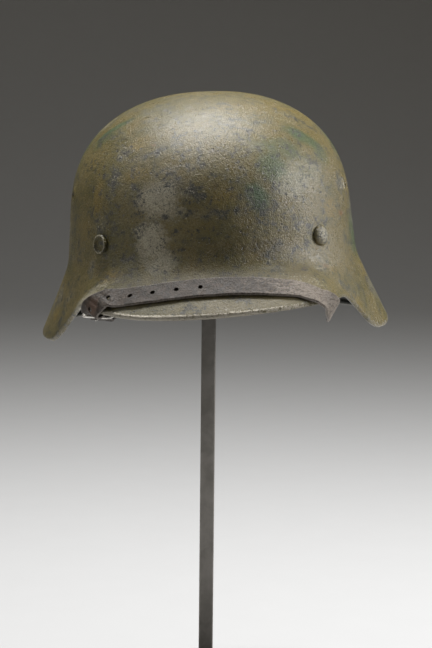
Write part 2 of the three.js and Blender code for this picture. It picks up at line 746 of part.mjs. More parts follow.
// The pad leans with the helmet; everything in the helmet group turns about the lean's pivot
const padTop = shell.height - shell.wall - 2 * gap;
const pad = piece('stand_pad', padGeometry(), rubber);
pad.position.set(-stand.helmetShift, 0, padTop);
helmet.add(pad);
for (const child of helmet.children) child.position.z -= stand.leanPivot;
helmet.position.set(stand.helmetShift, 0, stand.rimHeight + stand.leanPivot);
helmet.rotation.y = -radians(stand.helmetLean);

const root = new THREE.Group();
root.add(helmet);
root.add(piece('stand_base', baseGeometry(), standSteel));
const post = piece('stand_post', postGeometry(), standSteel);
post.position.z = stand.baseThickness + gap;
root.add(post);

export default root;
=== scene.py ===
# Steel combat helmet with its chin strap drawn over the visor, on a post stand
import math
import bpy
import numpy as np
from mathutils import Matrix, Vector


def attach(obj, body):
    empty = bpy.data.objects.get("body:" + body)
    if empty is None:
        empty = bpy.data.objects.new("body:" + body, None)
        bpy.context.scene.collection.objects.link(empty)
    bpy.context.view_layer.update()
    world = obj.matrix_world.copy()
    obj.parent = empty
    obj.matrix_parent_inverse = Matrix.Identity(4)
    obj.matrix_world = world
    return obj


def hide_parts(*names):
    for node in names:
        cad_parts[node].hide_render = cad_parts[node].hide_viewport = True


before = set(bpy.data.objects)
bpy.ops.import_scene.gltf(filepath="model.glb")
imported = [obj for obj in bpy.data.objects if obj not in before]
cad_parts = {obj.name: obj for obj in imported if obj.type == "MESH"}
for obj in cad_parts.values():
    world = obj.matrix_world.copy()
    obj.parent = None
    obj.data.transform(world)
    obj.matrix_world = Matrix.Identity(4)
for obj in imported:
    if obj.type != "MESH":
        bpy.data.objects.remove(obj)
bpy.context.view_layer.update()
print("frame loaded")

mm = 0.001

# How the helmet sits on its post. Its own frame has z = 0 at the lowest rim, x = y = 0 on the crown's axis
seat = {"lean": 3.0, "pivot": 100.0, "shift": -0.7, "rimHeight": 276.0}
helmetPlace = (Matrix.Translation(Vector((seat["shift"], 0, seat["rimHeight"] + seat["pivot"])) * mm)
               @ Matrix.Rotation(-math.radians(seat["lean"]), 4, "Y")
               @ Matrix.Translation(Vector((0, 0, -seat["pivot"])) * mm))


# The camera fitted to the photograph, in millimetres and degrees, and the photograph's size in pixels
shot = {"position": (4.96, -1238.05, 435.27), "pitch": 7.264, "roll": 0.6, "lens": 100.0, "sensor": 36.0,
        "pixelsWide": 432, "pixelsTall": 648}


def cameraAxes():
    # to the camera's right, up and forward
    pitch, roll = math.radians(shot["pitch"]), math.radians(shot["roll"])
    forward = Vector((0, math.cos(pitch), -math.sin(pitch)))
    upright = Vector((0, math.sin(pitch), math.cos(pitch)))
    right = Vector((1, 0, 0))
    return (right * math.cos(roll) + upright * math.sin(roll),
            upright * math.cos(roll) - right * math.sin(roll), forward)


# Small tools used by every piece

def smoothStep(value, low, high):
    t = np.clip((value - low) / (high - low), 0, 1)
    return t * t * (3 - 2 * t)


def moved(points, matrix):
    # millimetre points through a matrix whose shift is in metres
    grid = np.array(matrix)
    return np.asarray(points, float) @ grid[:3, :3].T + grid[:3, 3] / mm


def addPiece(name, verts, faces, material, nodes, place=None, crease=40):
    # verts are millimetres in the helmet's frame if place is given, else in the world's
    verts = moved(verts, place) if place is not None else np.asarray(verts, float)
    mesh = bpy.data.meshes.new(name)
    mesh.from_pydata((verts * mm).tolist(), [], faces)
    mesh.validate()
    mesh.materials.append(material)
    mesh.shade_smooth()
    mesh.set_sharp_from_angle(angle=math.radians(crease))
    piece = bpy.data.objects.new(name, mesh)
    bpy.context.scene.collection.objects.link(piece)
    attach(piece, "root")
    if nodes:
        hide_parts(*nodes)
    return piece


def storeMasks(piece, masks):
    for name, values in masks.items():
        attribute = piece.data.attributes.new(name, "FLOAT", "POINT")
        attribute.data.foreach_set("value", np.asarray(values, np.float32))


def ringFaces(rows, columns, start=0, closed=True):
    # quads between rows of points, each row running round
    faces = []
    last = columns if closed else columns - 1
    for r in range(rows - 1):
        for c in range(last):
            a = start + r * columns + c
            b = start + r * columns + (c + 1) % columns
            faces.append((a, a + columns, b + columns, b))
    return faces


# Node shorthand: every material below is built from these

def newMaterial(name):
    material = bpy.data.materials.new(name)
    material.use_nodes = True
    tree = material.node_tree
    shader = tree.nodes["Principled BSDF"]
    return material, tree, shader


def link(tree, source, target):
    tree.links.new(source, target)


def pieceMillimetres(tree):
    coords = tree.nodes.new("ShaderNodeTexCoord")
    scale = tree.nodes.new("ShaderNodeVectorMath")
    scale.operation = "SCALE"
    scale.inputs["Scale"].default_value = 1000
    link(tree, coords.outputs["Object"], scale.inputs[0])
    return scale.outputs[0]


def stretched(tree, vector, x, y, z):
    node = tree.nodes.new("ShaderNodeVectorMath")
    node.operation = "MULTIPLY"
    node.inputs[1].default_value = (x, y, z)
    link(tree, vector, node.inputs[0])
    return node.outputs[0]


def shifted(tree, vector, distance):
    node = tree.nodes.new("ShaderNodeVectorMath")
    node.operation = "ADD"
    node.inputs[1].default_value = (distance, 1.7 * distance, -distance)
    link(tree, vector, node.inputs[0])
    return node.outputs[0]


def noise(tree, vector, size, detail=3.0, rough=0.55, warp=0.0):
    # size is the length of one blotch in millimetres
    node = tree.nodes.new("ShaderNodeTexNoise")
    node.inputs["Scale"].default_value = 1.0 / size
    node.inputs["Detail"].default_value = detail
    node.inputs["Roughness"].default_value = rough
    node.inputs["Distortion"].default_value = warp
    link(tree, vector, node.inputs["Vector"])
    return node.outputs["Fac"]


def cells(tree, vector, size, feature="F1"):
    node = tree.nodes.new("ShaderNodeTexVoronoi")
    node.feature = feature
    node.inputs["Scale"].default_value = 1.0 / size
    link(tree, vector, node.inputs["Vector"])
    return node


def sumOf(tree, first, second, operation="ADD", clamp=False):
    node = tree.nodes.new("ShaderNodeMath")
    node.operation = operation
    node.use_clamp = clamp
    for socket, value in zip(node.inputs, (first, second)):
        if isinstance(value, (int, float)):
            socket.default_value = value
        else:
            link(tree, value, socket)
    return node.outputs[0]


def times(tree, first, second):
    return sumOf(tree, first, second, "MULTIPLY")


def between(tree, value, low, high, outLow=0.0, outHigh=1.0):
    # 0 below low, 1 above high, smooth in the middle; low may be the larger one
    node = tree.nodes.new("ShaderNodeMapRange")
    node.interpolation_type = "SMOOTHSTEP"
    flip = low > high
    node.inputs["From Min"].default_value = high if flip else low
    node.inputs["From Max"].default_value = low if flip else high
    node.inputs["To Min"].default_value = outHigh if flip else outLow
    node.inputs["To Max"].default_value = outLow if flip else outHigh
    link(tree, value, node.inputs["Value"])
    return node.outputs["Result"]


def mixed(tree, amount, under, over, mode="MIX"):
    node = tree.nodes.new("ShaderNodeMix")
    node.data_type = "RGBA"
    node.blend_type = mode
    if isinstance(amount, (int, float)):
        node.inputs["Factor"].default_value = amount
    else:
        link(tree, amount, node.inputs["Factor"])
    for socket, value in ((node.inputs["A"], under), (node.inputs["B"], over)):
        if isinstance(value, tuple):
            socket.default_value = (*value, 1)
        else:
            link(tree, value, socket)
    return node.outputs["Result"]


def painted(tree, name):
    node = tree.nodes.new("ShaderNodeAttribute")
    node.attribute_name = name
    return node.outputs["Fac"]


def bumped(tree, height, depth, strength=1.0, under=None):
    # depth in millimetres for a height of 1
    node = tree.nodes.new("ShaderNodeBump")
    node.inputs["Distance"].default_value = depth * mm
    node.inputs["Strength"].default_value = strength
    link(tree, height, node.inputs["Height"])
    if under is not None:
        link(tree, under, node.inputs["Normal"])
    return node.outputs["Normal"]


# Camouflage paint: tan over slate primer, worn through in blotches, with green sprayed on

camouflage = {
    "tan": (0.176, 0.140, 0.056),
    "olive": (0.112, 0.096, 0.030),
    "ochre": (0.215, 0.155, 0.040),
    "pale": (0.330, 0.300, 0.215),
    "slate": (0.042, 0.042, 0.036),
    "haze": (0.200, 0.190, 0.145),
    "clump": (0.084, 0.081, 0.065),
    "green": (0.050, 0.100, 0.047),
    "wornThrough": (0.44, 0.40, 0.29),
    # pale bare steel, also used as a painted highlight on the rim
    "bareSteelAndHighlight": (0.40, 0.37, 0.31),
    "rust": (0.200, 0.100, 0.032),
    # dark marks: dirt, pits and painted shade
    "dirtAndShade": (0.020, 0.018, 0.012),
    "inside": (0.042, 0.045, 0.036),
    "soot": (0.020, 0.018, 0.010),
    # painted shade for the visor's flare
    "flareShade": (0.045, 0.034, 0.012),
    "grainSize": 0.75,        # millimetres, as the depths are
    "grainDepth": 0.34,
    "speckleDepth": 0.42,
    "pitDepth": 0.25,
    "dentDepth": 1.1,
    "gloss": 0.33,
}


def offset(tree, value, shift=0.0, gain=1.0):
    # a noise value's distance from its middle, times gain, plus shift
    return sumOf(tree, times(tree, sumOf(tree, value, 0.5, "SUBTRACT"), gain), shift)


def camouflagePaint():
    look = camouflage
    material, tree, shader = newMaterial("worn camouflage paint")
    place = pieceMillimetres(tree)
    broad = noise(tree, place, 46, 3, 0.5)
    patchy = noise(tree, place, 15, 4, 0.6, 0.6)
    blotchy = noise(tree, place, 4.2, 4, 0.6, 0.3)
    speckled = noise(tree, place, 1.7, 4, 0.75, 0.4)
    peppered = noise(tree, shifted(tree, place, 40), 1.3, 3, 0.7)
    grain = noise(tree, shifted(tree, place, 90), look["grainSize"], 2, 0.6)
    brushed = noise(tree, stretched(tree, place, 0.18, 0.18, 1.0), 2.4, 5, 0.65, 0.4)

    # top coat: tan and olive clouds, then ochre, pale and green ones where they are marked
    tone = sumOf(tree, offset(tree, broad, 0.5, 1.6), offset(tree, patchy, 0, 1.5))
    tone = sumOf(tree, tone, offset(tree, blotchy, 0, 0.9))
    color = mixed(tree, between(tree, tone, 0.2, 0.8), look["tan"], look["olive"])
    ochre = sumOf(tree, times(tree, painted(tree, "ochre"), 0.8), offset(tree, patchy, 0, 1.6))
    color = mixed(tree, between(tree, ochre, 0.12, 0.85, 0, 0.85), color, look["ochre"])
    pale = sumOf(tree, times(tree, painted(tree, "pale"), 0.7), offset(tree, brushed, 0, 1.5))
    pale = sumOf(tree, pale, offset(tree, patchy, 0, 1.6))
    pale = sumOf(tree, pale, offset(tree, speckled, -0.05, 1.5))
    color = mixed(tree, between(tree, pale, 0.12, 0.80, 0, 0.8), color, look["pale"])
    green = sumOf(tree, painted(tree, "green"), offset(tree, patchy, 0, 0.9))
    color = mixed(tree, between(tree, green, 0.0, 1.1, 0, 0.85), color, look["green"])

    # primer: specks of slate, thick where it is marked and thin elsewhere
    density = sumOf(tree, times(tree, painted(tree, "slate"), 0.130), offset(tree, patchy, 0, 0.55))
    density = sumOf(tree, density, offset(tree, blotchy, 0, 0.8))
    haze = sumOf(tree, painted(tree, "slate"), offset(tree, blotchy, 0, 1.4))
    haze = between(tree, haze, 0.1, 0.9, 0, 0.5)
    color = mixed(tree, haze, color, look["haze"])
    clump = sumOf(tree, times(tree, painted(tree, "slate"), 0.12), offset(tree, patchy, 0, 0.7))
    clump = between(tree, sumOf(tree, blotchy, clump), 0.57, 0.68, 0, 0.6)
    color = mixed(tree, clump, color, look["clump"])
    primer = between(tree, sumOf(tree, speckled, density), 0.595, 0.665, 0, 0.9)
    color = mixed(tree, primer, color, look["slate"])
    rubs = between(tree, sumOf(tree, brushed, offset(tree, broad, 0, 0.4)), 0.62, 0.72, 0, 0.45)
    color = mixed(tree, rubs, color, look["slate"])
    pit = cells(tree, place, 2.6)
    pitSize = between(tree, blotchy, 0.45, 0.72, 0.02, 0.30)
    pits = between(tree, sumOf(tree, pit.outputs["Distance"], pitSize, "SUBTRACT"), 0.08, 0.0, 0, 0.8)
    color = mixed(tree, pits, color, look["dirtAndShade"])

    # pale specks where the paint is rubbed thin
    thin = sumOf(tree, times(tree, painted(tree, "worn"), 0.19), times(tree, painted(tree, "slate"), 0.11))
    thin = sumOf(tree, thin, offset(tree, patchy, 0, 0.25))
    worn = between(tree, sumOf(tree, peppered, thin), 0.64, 0.72, 0, 0.75)
    color = mixed(tree, worn, color, look["wornThrough"])
    rust = sumOf(tree, painted(tree, "rust"), offset(tree, speckled, 0, 1.2))
    rust = between(tree, rust, 0.3, 0.75, 0, 0.85)
    color = mixed(tree, rust, color, look["rust"])
    # dark marks: dirt and chips, and painted shade where the marks are broad
    dirtAndShade = sumOf(tree, painted(tree, "dark"), offset(tree, blotchy, 0, 0.8))
    dirtAndShade = between(tree, dirtAndShade, 0.25, 1.0, 0, 0.75)
    color = mixed(tree, dirtAndShade, color, look["dirtAndShade"])
    color = mixed(tree, between(tree, grain, 0.55, 0.35, 0, 0.45), color, look["soot"])
    # painted shade on the visor's flare in front
    color = mixed(tree, times(tree, painted(tree, "dull"), 0.42), color, look["flareShade"])
    # pale bare steel on the rim: worn edges, and a painted highlight along the bead
    bareAndHighlight = sumOf(tree, times(tree, painted(tree, "rim"), 0.45), offset(tree, speckled, 0, 1.0))
    bareAndHighlight = between(tree, bareAndHighlight, 0.26, 0.42, 0, 0.9)
    color = mixed(tree, bareAndHighlight, color, look["bareSteelAndHighlight"])
    lining = mixed(tree, between(tree, blotchy, 0.35, 0.7, 0, 0.6), look["inside"], look["slate"])
    color = mixed(tree, painted(tree, "inside"), color, lining)
    link(tree, color, shader.inputs["Base Color"])
    link(tree, times(tree, bareAndHighlight, 0.8), shader.inputs["Metallic"])

    rough = sumOf(tree, offset(tree, patchy, look["gloss"], 0.35), offset(tree, peppered, 0, 0.5))
    rough = sumOf(tree, rough, times(tree, painted(tree, "inside"), 0.2))
    rough = sumOf(tree, rough, times(tree, painted(tree, "dull"), 0.22))
    link(tree, rough, shader.inputs["Roughness"])
    shader.inputs["Specular IOR Level"].default_value = 0.55

    relief = bumped(tree, grain, look["grainDepth"])
    relief = bumped(tree, speckled, look["speckleDepth"], 1.0, relief)
    hollows = sumOf(tree, times(tree, primer, 0.4), pits)
    relief = bumped(tree, sumOf(tree, 1.0, hollows, "SUBTRACT"), look["pitDepth"], 0.8, relief)
    relief = bumped(tree, patchy, look["dentDepth"], 0.6, relief)
    link(tree, relief, shader.inputs["Normal"])
    return material


# Marks picked in the photograph, in its pixels: middle, half sizes, turn in degrees, strength
photoMarks = {
    "slate": [
        (124, 153, 7, 9, 0, 0.9), (158, 197, 10, 6, 25, 1), (172, 186, 14, 9, 20, 1),
        (188, 191, 7, 8, 0, 0.85), (239, 170, 7, 10, 0, 0.5), (148, 227, 13, 9, 15, 0.9),
        (153, 243, 9, 8, 0, 0.75), (163, 253, 8, 8, 0, 0.6), (114, 180, 5, 10, -15, 0.6),
        (112, 193, 4, 8, 0, 0.55), (101, 224, 8, 11, 0, 0.5), (153, 119, 9, 5, 20, 0.45),
        (228, 124, 9, 4, -10, 0.6), (176, 144, 7, 4, 0, 0.7), (146, 156, 16, 4, 15, 0.65),
        (190, 166, 18, 3, 3, 0.75), (172, 169, 8, 3, 0, 0.8), (284, 114, 9, 4, -25, 0.5),
        (247, 129, 8, 3, -15, 0.65), (243, 142, 5, 3, -20, 0.75), (216, 151, 14, 3, 3, 0.65),
        (250, 200, 7, 11, 0, 0.6), (300, 226, 12, 9, 0, 0.5), (280, 242, 4, 3, 0, 0.95),
        (340, 182, 5, 8, 0, 0.8), (208, 214, 26, 6, 0, 0.5), (240, 215, 10, 9, 0, 0.5),
        (133, 170, 6, 3, 0, 0.4), (200, 193, 5, 12, 0, 0.4), (105, 252, 8, 9, 0, 0.45),
        (92, 268, 4, 10, 0, 0.7), (83, 300, 6, 4, 25, 0.9), (70, 296, 5, 8, 30, 0.5),
        (320, 150, 5, 9, -30, 0.3), (349, 292, 14, 3, -38, 0.8), (130, 262, 7, 8, 0, 0.4),
    ],
    "green": [
        (257, 197, 11, 15, 15, 1), (273, 166, 15, 17, 20, 0.75), (307, 139, 16, 9, -30, 0.8),
        (321, 154, 7, 12, -25, 0.6), (290, 181, 17, 13, 0, 0.35), (114, 129, 13, 5, 38, 0.95),
        (104, 141, 8, 7, 45, 0.5), (150, 262, 10, 8, 0, 0.3), (228, 205, 10, 8, 0, 0.25),
        (178, 262, 12, 8, 0, 0.3),
    ],
    "ochre": [
        (142, 142, 16, 9, 20, 0.8), (98, 197, 6, 22, 5, 0.8), (136, 175, 16, 8, 10, 0.7),
        (224, 198, 14, 12, 0, 0.75), (297, 113, 18, 5, -25, 0.7), (331, 209, 6, 12, 0, 0.8),
        (198, 226, 22, 10, 0, 0.5), (83, 229, 9, 20, 0, 0.6), (110, 276, 12, 9, 0, 0.7),
        (56, 314, 5, 9, 15, 0.9), (360, 306, 10, 12, -35, 0.8), (332, 268, 4, 4, 0, 1),
        (235, 107, 40, 5, -5, 0.45), (97, 160, 8, 9, 20, 0.5), (352, 270, 6, 12, -20, 0.4),
        (215, 306, 60, 3, 0, 0.35), (76, 262, 6, 12, 20, 0.5),
    ],
    "rust": [
        (154, 144, 2.5, 1.8, 0, 0.9), (341, 213, 2.5, 3.5, 0, 0.9), (113, 277, 3, 2, 0, 0.6),
        (304, 268, 3, 2, 0, 0.5), (326, 266, 4, 3, 0, 0.6),
    ],
    "pale": [
        (171, 209, 15, 13, 0, 0.8), (153, 229, 12, 10, 0, 0.55), (305, 176, 20, 20, 0, 0.7),
        (161, 172, 11, 5, 0, 0.6), (205, 118, 45, 9, 0, 0.4), (300, 205, 16, 14, 0, 0.5),
        (270, 262, 20, 9, 0, 0.4), (262, 150, 12, 10, 0, 0.4),
    ],
    "worn": [
        (90, 295, 13, 8, 25, 1), (80, 302, 9, 6, 30, 0.9), (97, 288, 5, 4, 0, 1),
        (308, 280, 22, 7, -15, 0.7), (331, 264, 4, 5, 0, 0.7), (152, 229, 6, 7, 0, 0.6),
        (154, 262, 12, 14, 0, 0.35), (287, 121, 9, 3, -25, 0.7),
    ],
    # dark: small chips and dots of dirt, while the two broad patches low on the front are painted shade
    "dark": [
        (217, 185, 3.2, 2.4, -15, 1), (155, 143, 2.2, 1.6, -20, 0.9), (168, 168, 3, 1.8, 0, 0.8),
        (225, 248, 34, 12, 0, 0.5), (195, 247, 25, 12, 0, 0.4), (281, 243, 2.6, 2, 0, 1),
        (210, 165, 2.2, 1.2, 0, 0.9), (202, 166, 1.6, 1.2, 0, 0.9), (193, 166, 1.4, 1.1, 0, 0.9),
        (243, 142, 2, 1.4, 0, 0.8), (341, 193, 2, 3, 0, 0.7),
    ],
}
# More of them, by azimuth in degrees and height on the shell, with half sizes in millimetres
shellMarks = {
    "green": [
        (30, 124, 20.0, 9.0, -15, 0.55), (36, 112, 16.0, 12.0, -15, 0.25),
    ],
    "pale": [
        (-17, 95, 14.0, 11.0, 10, 1.9), (-20, 69, 11.0, 13.0, 0, 1.7), (-17, 56, 12.0, 9.0, 0, 1.5),
        (30, 100, 13.0, 12.0, 0, 1.0), (38, 50, 12.0, 7.0, -15, 0.9),
    ],
    "worn": [
        (-17, 94, 12.0, 8.0, 0, 1.1), (-20, 68, 8.0, 11.0, 0, 1.1), (-16, 56, 9.0, 7.0, 0, 0.9),
        (32, 102, 14.0, 10.0, 0, 0.45),
    ],
    # dark: painted shade low on the front right
    "dark": [
        (27, 60, 13.0, 9.0, 0, 0.42), (13, 76, 12.0, 10.0, 0, 0.35), (19, 61, 14.0, 9.0, 0, 0.62),
    ],
}

# The sides and back, which no picture shows, get marks of the same sorts from a fixed seed
backMarks = {"seed": 11, "slate": 46, "green": 9, "ochre": 26, "pale": 16, "worn": 9, "rust": 8}


# Shell: the steel's own surface with finer rows, and the vents pressed out round their holes

shell = {
    "height": 161.5, "halfWidth": 98.6, "frontLength": 112.0, "rearLength": 111.0, "planPower": 2.12,
    "capDepth": 83.0, "capPower": 2.28, "capRound": 2.6, "capSpread": 90.7, "draft": 0.0786,
    "crestShift": 6.0, "wall": 1.2, "beadRadius": 1.8, "twist": 1.3, "twistAzimuth": 20.0,
    "columns": 288, "domeRows": 66, "kneeRows": 14, "flareRows": 20, "beadRows": 14,
}
rimStations = [
    # azimuth, reach, rim, crease, knee
    (0, 33.5, 26.0, 53.0, 13), (18, 32.5, 27.0, 53.0, 13), (32, 26.0, 29.0, 52.5, 12),
    (43, 15.5, 29.5, 51.5, 9), (54, 11.8, 19.5, 50.5, 7), (64, 13.8, 6.8, 49.8, 6),
    (73, 16.6, 1.2, 49.4, 6), (82, 19.4, 0.8, 49.2, 6), (95, 21.8, 2.4, 49.0, 6),
    (125, 26.5, 3.2, 48.0, 9), (155, 30.0, 3.2, 47.0, 13), (180, 31.0, 3.2, 47.0, 14),
]
vent = {"azimuth": 70, "height": 96, "holeRadius": 2.3, "footRadius": 6.4, "shoulder": 3.9,
        "rise": 0.85, "rings": 9}


def alongRim(column, azimuth):
    table = np.array(rimStations, float)
    x = np.r_[-table[1, 0], table[:, 0], 360 - table[-2, 0]]
    y = np.r_[table[1, column], table[:, column], table[-2, column]]
    slope = np.diff(y) / np.diff(x)
    tangent = np.zeros_like(x)
    for i in range(1, len(x) - 1):
        if slope[i - 1] * slope[i] > 0:
            mean = abs((y[i + 1] - y[i - 1]) / (x[i + 1] - x[i - 1]))
            tangent[i] = np.sign(slope[i]) * min(mean, 3 * abs(slope[i - 1]), 3 * abs(slope[i]))
    bend = np.abs(((np.asarray(azimuth, float) + 180) % 360) - 180)
    i = np.clip(np.searchsorted(x, bend, side="right") - 1, 1, len(x) - 3)
    span = x[i + 1] - x[i]
    t = (bend - x[i]) / span
    return ((2 * t**3 - 3 * t**2 + 1) * y[i] + (t**3 - 2 * t**2 + t) * span * tangent[i]
            + (3 * t**2 - 2 * t**3) * y[i + 1] + (t**3 - t**2) * span * tangent[i + 1])


def rimHeight(azimuth):
    # the visor's rim is a little higher on the viewer's right of its middle, lower on the left
    turn = (np.asarray(azimuth, float) + 180) % 360 - 180
    share = turn / shell["twistAzimuth"]
    return alongRim(2, azimuth) + shell["twist"] * share * np.exp((1 - share**4) / 4)


def wallRadius(azimuth):
    a = np.radians(azimuth)
    length = np.where(np.cos(a) > 0, shell["frontLength"], shell["rearLength"])
    power = shell["planPower"]
    sideways, lengthways = np.abs(np.sin(a) / shell["halfWidth"]), np.abs(np.cos(a) / length)
    return (sideways**power + lengthways**power)**(-1 / power)


def capWidth(depth):
    left = np.clip(1 - depth / shell["capDepth"], 0, 1)
    spread = shell["capSpread"] * (1 - left**shell["capRound"])**(1 / shell["capPower"])
    return spread + shell["draft"] * depth


def wallProfile(azimuth, stage):
    # radius and height: dome for stage 0 to 1, fillet to 2, flare to 3
    reach, crease, knee = (alongRim(column, azimuth) for column in (1, 3, 4))
    rim = rimHeight(azimuth)
    wall = wallRadius(azimuth)
    flare = np.hypot(reach, crease - rim)
    kneeDepth = shell["height"] - crease - knee
    scale = wall / capWidth(shell["height"] - crease)
    depth = kneeDepth * (1 - np.cos(np.clip(stage, 0, 1) * np.pi / 2))
    domeR, domeZ = scale * capWidth(depth), shell["height"] - depth
    along = np.minimum(knee, 0.45 * flare) / flare
    endR, endZ = wall + reach * along, crease - (crease - rim) * along
    w = np.clip(stage - 1, 0, 1)
    startR, startZ = scale * capWidth(kneeDepth), shell["height"] - kneeDepth
    kneeR = (1 - w)**2 * startR + 2 * w * (1 - w) * wall + w * w * endR
    kneeZ = (1 - w)**2 * startZ + 2 * w * (1 - w) * crease + w * w * endZ
    q = np.clip(stage - 2, 0, 1)
    flareR, flareZ = endR + (wall + reach - endR) * q, endZ + (rim - endZ) * q
    radius = np.where(stage <= 1, domeR, np.where(stage <= 2, kneeR, flareR))
    height = np.where(stage <= 1, domeZ, np.where(stage <= 2, kneeZ, flareZ))
    return radius, height


def wallSlope(azimuth, stage):
    r0, z0 = wallProfile(azimuth, np.maximum(stage - 1e-3, 0))
    r1, z1 = wallProfile(azimuth, np.minimum(stage + 1e-3, 3))
    length = np.hypot(r1 - r0, z1 - z0)
    return (r1 - r0) / length, (z1 - z0) / length


def aroundAxis(azimuth, radius, height, back):
    a = np.radians(azimuth)
    return np.stack(np.broadcast_arrays(radius * np.sin(a), back - radius * np.cos(a), height), -1)


def onShell(azimuth, stage, lift=0.0):
    azimuth, stage = np.broadcast_arrays(np.asarray(azimuth, float), np.asarray(stage, float))
    radius, height = wallProfile(azimuth, stage)
    out, down = wallSlope(azimuth, stage)
    crease = alongRim(3, azimuth)
    rise = np.clip((height - crease) / (shell["height"] - crease), 0, 1)
    return aroundAxis(azimuth, radius - down * lift, height + out * lift, shell["crestShift"] * rise**1.5)


def domeStage(azimuth, height):
    kneeDepth = shell["height"] - alongRim(3, azimuth) - alongRim(4, azimuth)
    return np.arccos(np.clip(1 - (shell["height"] - height) / kneeDepth, -1, 1)) / (np.pi / 2)


def stageAt(azimuth, height):
    # the stage of the outer wall at a height, anywhere from crown to rim
    stages = np.linspace(0, 3, 601)
    heights = wallProfile(np.full_like(stages, azimuth), stages)[1]
    return float(np.interp(-height, -heights, stages))


def wallAxes(azimuth, stage):
    # middle, sideways, up and outwards at a spot on the wall
    middle = onShell(azimuth, stage)
    up = onShell(azimuth, max(stage - 1e-3, 0)) - middle
    aside = onShell(azimuth + 0.1, stage) - middle
    up, aside = up / np.linalg.norm(up), aside / np.linalg.norm(aside)
    out = np.cross(aside, up)
    out /= np.linalg.norm(out)
    return middle, np.cross(up, out), up, out


def inPicture(points):
    # where points of the helmet fall in the photograph
    away = moved(points, helmetPlace) - np.array(shot["position"])
    right, upright, forward = (np.array(axis) for axis in cameraAxes())
    scale = shot["lens"] / shot["sensor"] * shot["pixelsTall"] / (away @ forward)
    return np.stack([shot["pixelsWide"] / 2 + scale * (away @ right),
                     shot["pixelsTall"] / 2 - scale * (away @ upright)], -1)


def photoMarksOnShell():
    # each picked mark as azimuth, height and half sizes in millimetres, at the nearest visible spot
    azimuths, stages = np.meshgrid(np.linspace(-110, 110, 881), np.linspace(0, 3, 361))
    surface = onShell(azimuths, stages)
    spots = inPicture(surface)
    aside, down = np.gradient(spots, axis=1), np.gradient(spots, axis=0)
    facing = aside[..., 0] * down[..., 1] - aside[..., 1] * down[..., 0] > 0
    rows = []
    for kind, picked in photoMarks.items():
        for x, y, wide, tall, turn, strength in picked:
            far = np.where(facing, np.hypot(spots[..., 0] - x, spots[..., 1] - y), np.inf)
            i, j = np.unravel_index(far.argmin(), far.shape)
            azimuth, stage = azimuths[i, j], stages[i, j]
            start = onShell(azimuth, stage)
            perMm = []
            for end, least in ((onShell(azimuth + 1, stage), 0.55), (onShell(azimuth, stage - 0.02), 0.5)):
                inPixels = np.linalg.norm(inPicture(end) - inPicture(start))
                perMm.append(max(inPixels / np.linalg.norm(end - start), least))
            rows.append((kind, azimuth, surface[i, j, 2], wide / perMm[0], tall / perMm[1], turn, strength))
    return rows


def markMasks(points, inside):
    # how strongly each sort of mark covers each point
    kinds = ["slate", "green", "ochre", "pale", "worn", "rust", "dark"]
    masks = {kind: np.zeros(len(points)) for kind in kinds}
    rows = frontMarks + [(kind, *row) for kind, more in shellMarks.items() for row in more]
    dice = np.random.default_rng(backMarks["seed"])
    for kind in kinds:
        for _ in range(backMarks.get(kind, 0)):
            azimuth, height = dice.uniform(75, 285), dice.uniform(8, 155)
            size = {"green": 17, "worn": 9, "rust": 3}.get(kind, 9) * dice.uniform(0.6, 1.5)
            rows.append((kind, azimuth, height, size * dice.uniform(1, 1.7), size, dice.uniform(-30, 30),
                         dice.uniform(0.45, 0.95)))
    for kind, azimuth, height, wide, tall, turn, strength in rows:
        middle, aside, up, out = wallAxes(azimuth, stageAt(azimuth, height))
        c, s = math.cos(math.radians(turn)), math.sin(math.radians(turn))
        away = points - middle
        u, v, w = away @ aside, away @ up, away @ out
        reach = np.sqrt(((u * c + v * s) / wide)**2 + ((v * c - u * s) / tall)**2
                        + (w / (1.2 * (wide + tall)))**2)
        masks[kind] = np.maximum(masks[kind], strength * (1 - smoothStep(reach, 0.45, 1.5)))
    # the rim is rubbed bare in places along its edge; the pale band along the whole bead is also a painted
    # highlight
    azimuths = np.degrees(np.arctan2(points[:, 0], -points[:, 1]))
    toRim = points[:, 2] - rimHeight(azimuths)
    edge = 1 - smoothStep(toRim, 0.0, 1.3)
    masks["rim"] = edge * (0.75 + 0.25 * np.cos(3 * np.radians(azimuths) + 0.6))
    # the visor's flare under the strap gets painted shade and a rougher finish
    ahead = 1 - smoothStep(np.abs(azimuths), 26, 40)
    masks["dull"] = ahead * smoothStep(alongRim(3, azimuths) - points[:, 2], 0, 9)
    masks["inside"] = inside
    return masks


frontMarks = photoMarksOnShell()


def ventHoleStages(side, boundary, rings):
    # rings of (azimuth, stage) from a patch's boundary in to the hole's circle, found on the surface itself
    azimuth = side * vent["azimuth"]
    stage = float(domeStage(azimuth, vent["height"]))
    middle, aside, up, _ = wallAxes(azimuth, stage)
    flat = lambda a, s: np.stack([(onShell(a, s) - middle) @ aside, (onShell(a, s) - middle) @ up], -1)
    a, s = boundary[:, 0].copy(), boundary[:, 1].copy()
    edge = flat(a, s)
    circle = edge / np.linalg.norm(edge, axis=1)[:, None] * vent["holeRadius"]
    found = []
    for ring in range(1, rings + 1):
        share = (ring / rings)**0.8
        goal = edge * (1 - share) + circle * share
        for _ in range(6):
            miss = goal - flat(a, s)
            da, ds = (flat(a + 0.01, s) - flat(a, s)) / 0.01, (flat(a, s + 1e-4) - flat(a, s)) / 1e-4
            det = da[:, 0] * ds[:, 1] - da[:, 1] * ds[:, 0]
            a = a + (miss[:, 0] * ds[:, 1] - miss[:, 1] * ds[:, 0]) / det
            s = s + (da[:, 0] * miss[:, 1] - da[:, 1] * miss[:, 0]) / det
        found.append((a.copy(), s.copy()))
    return found


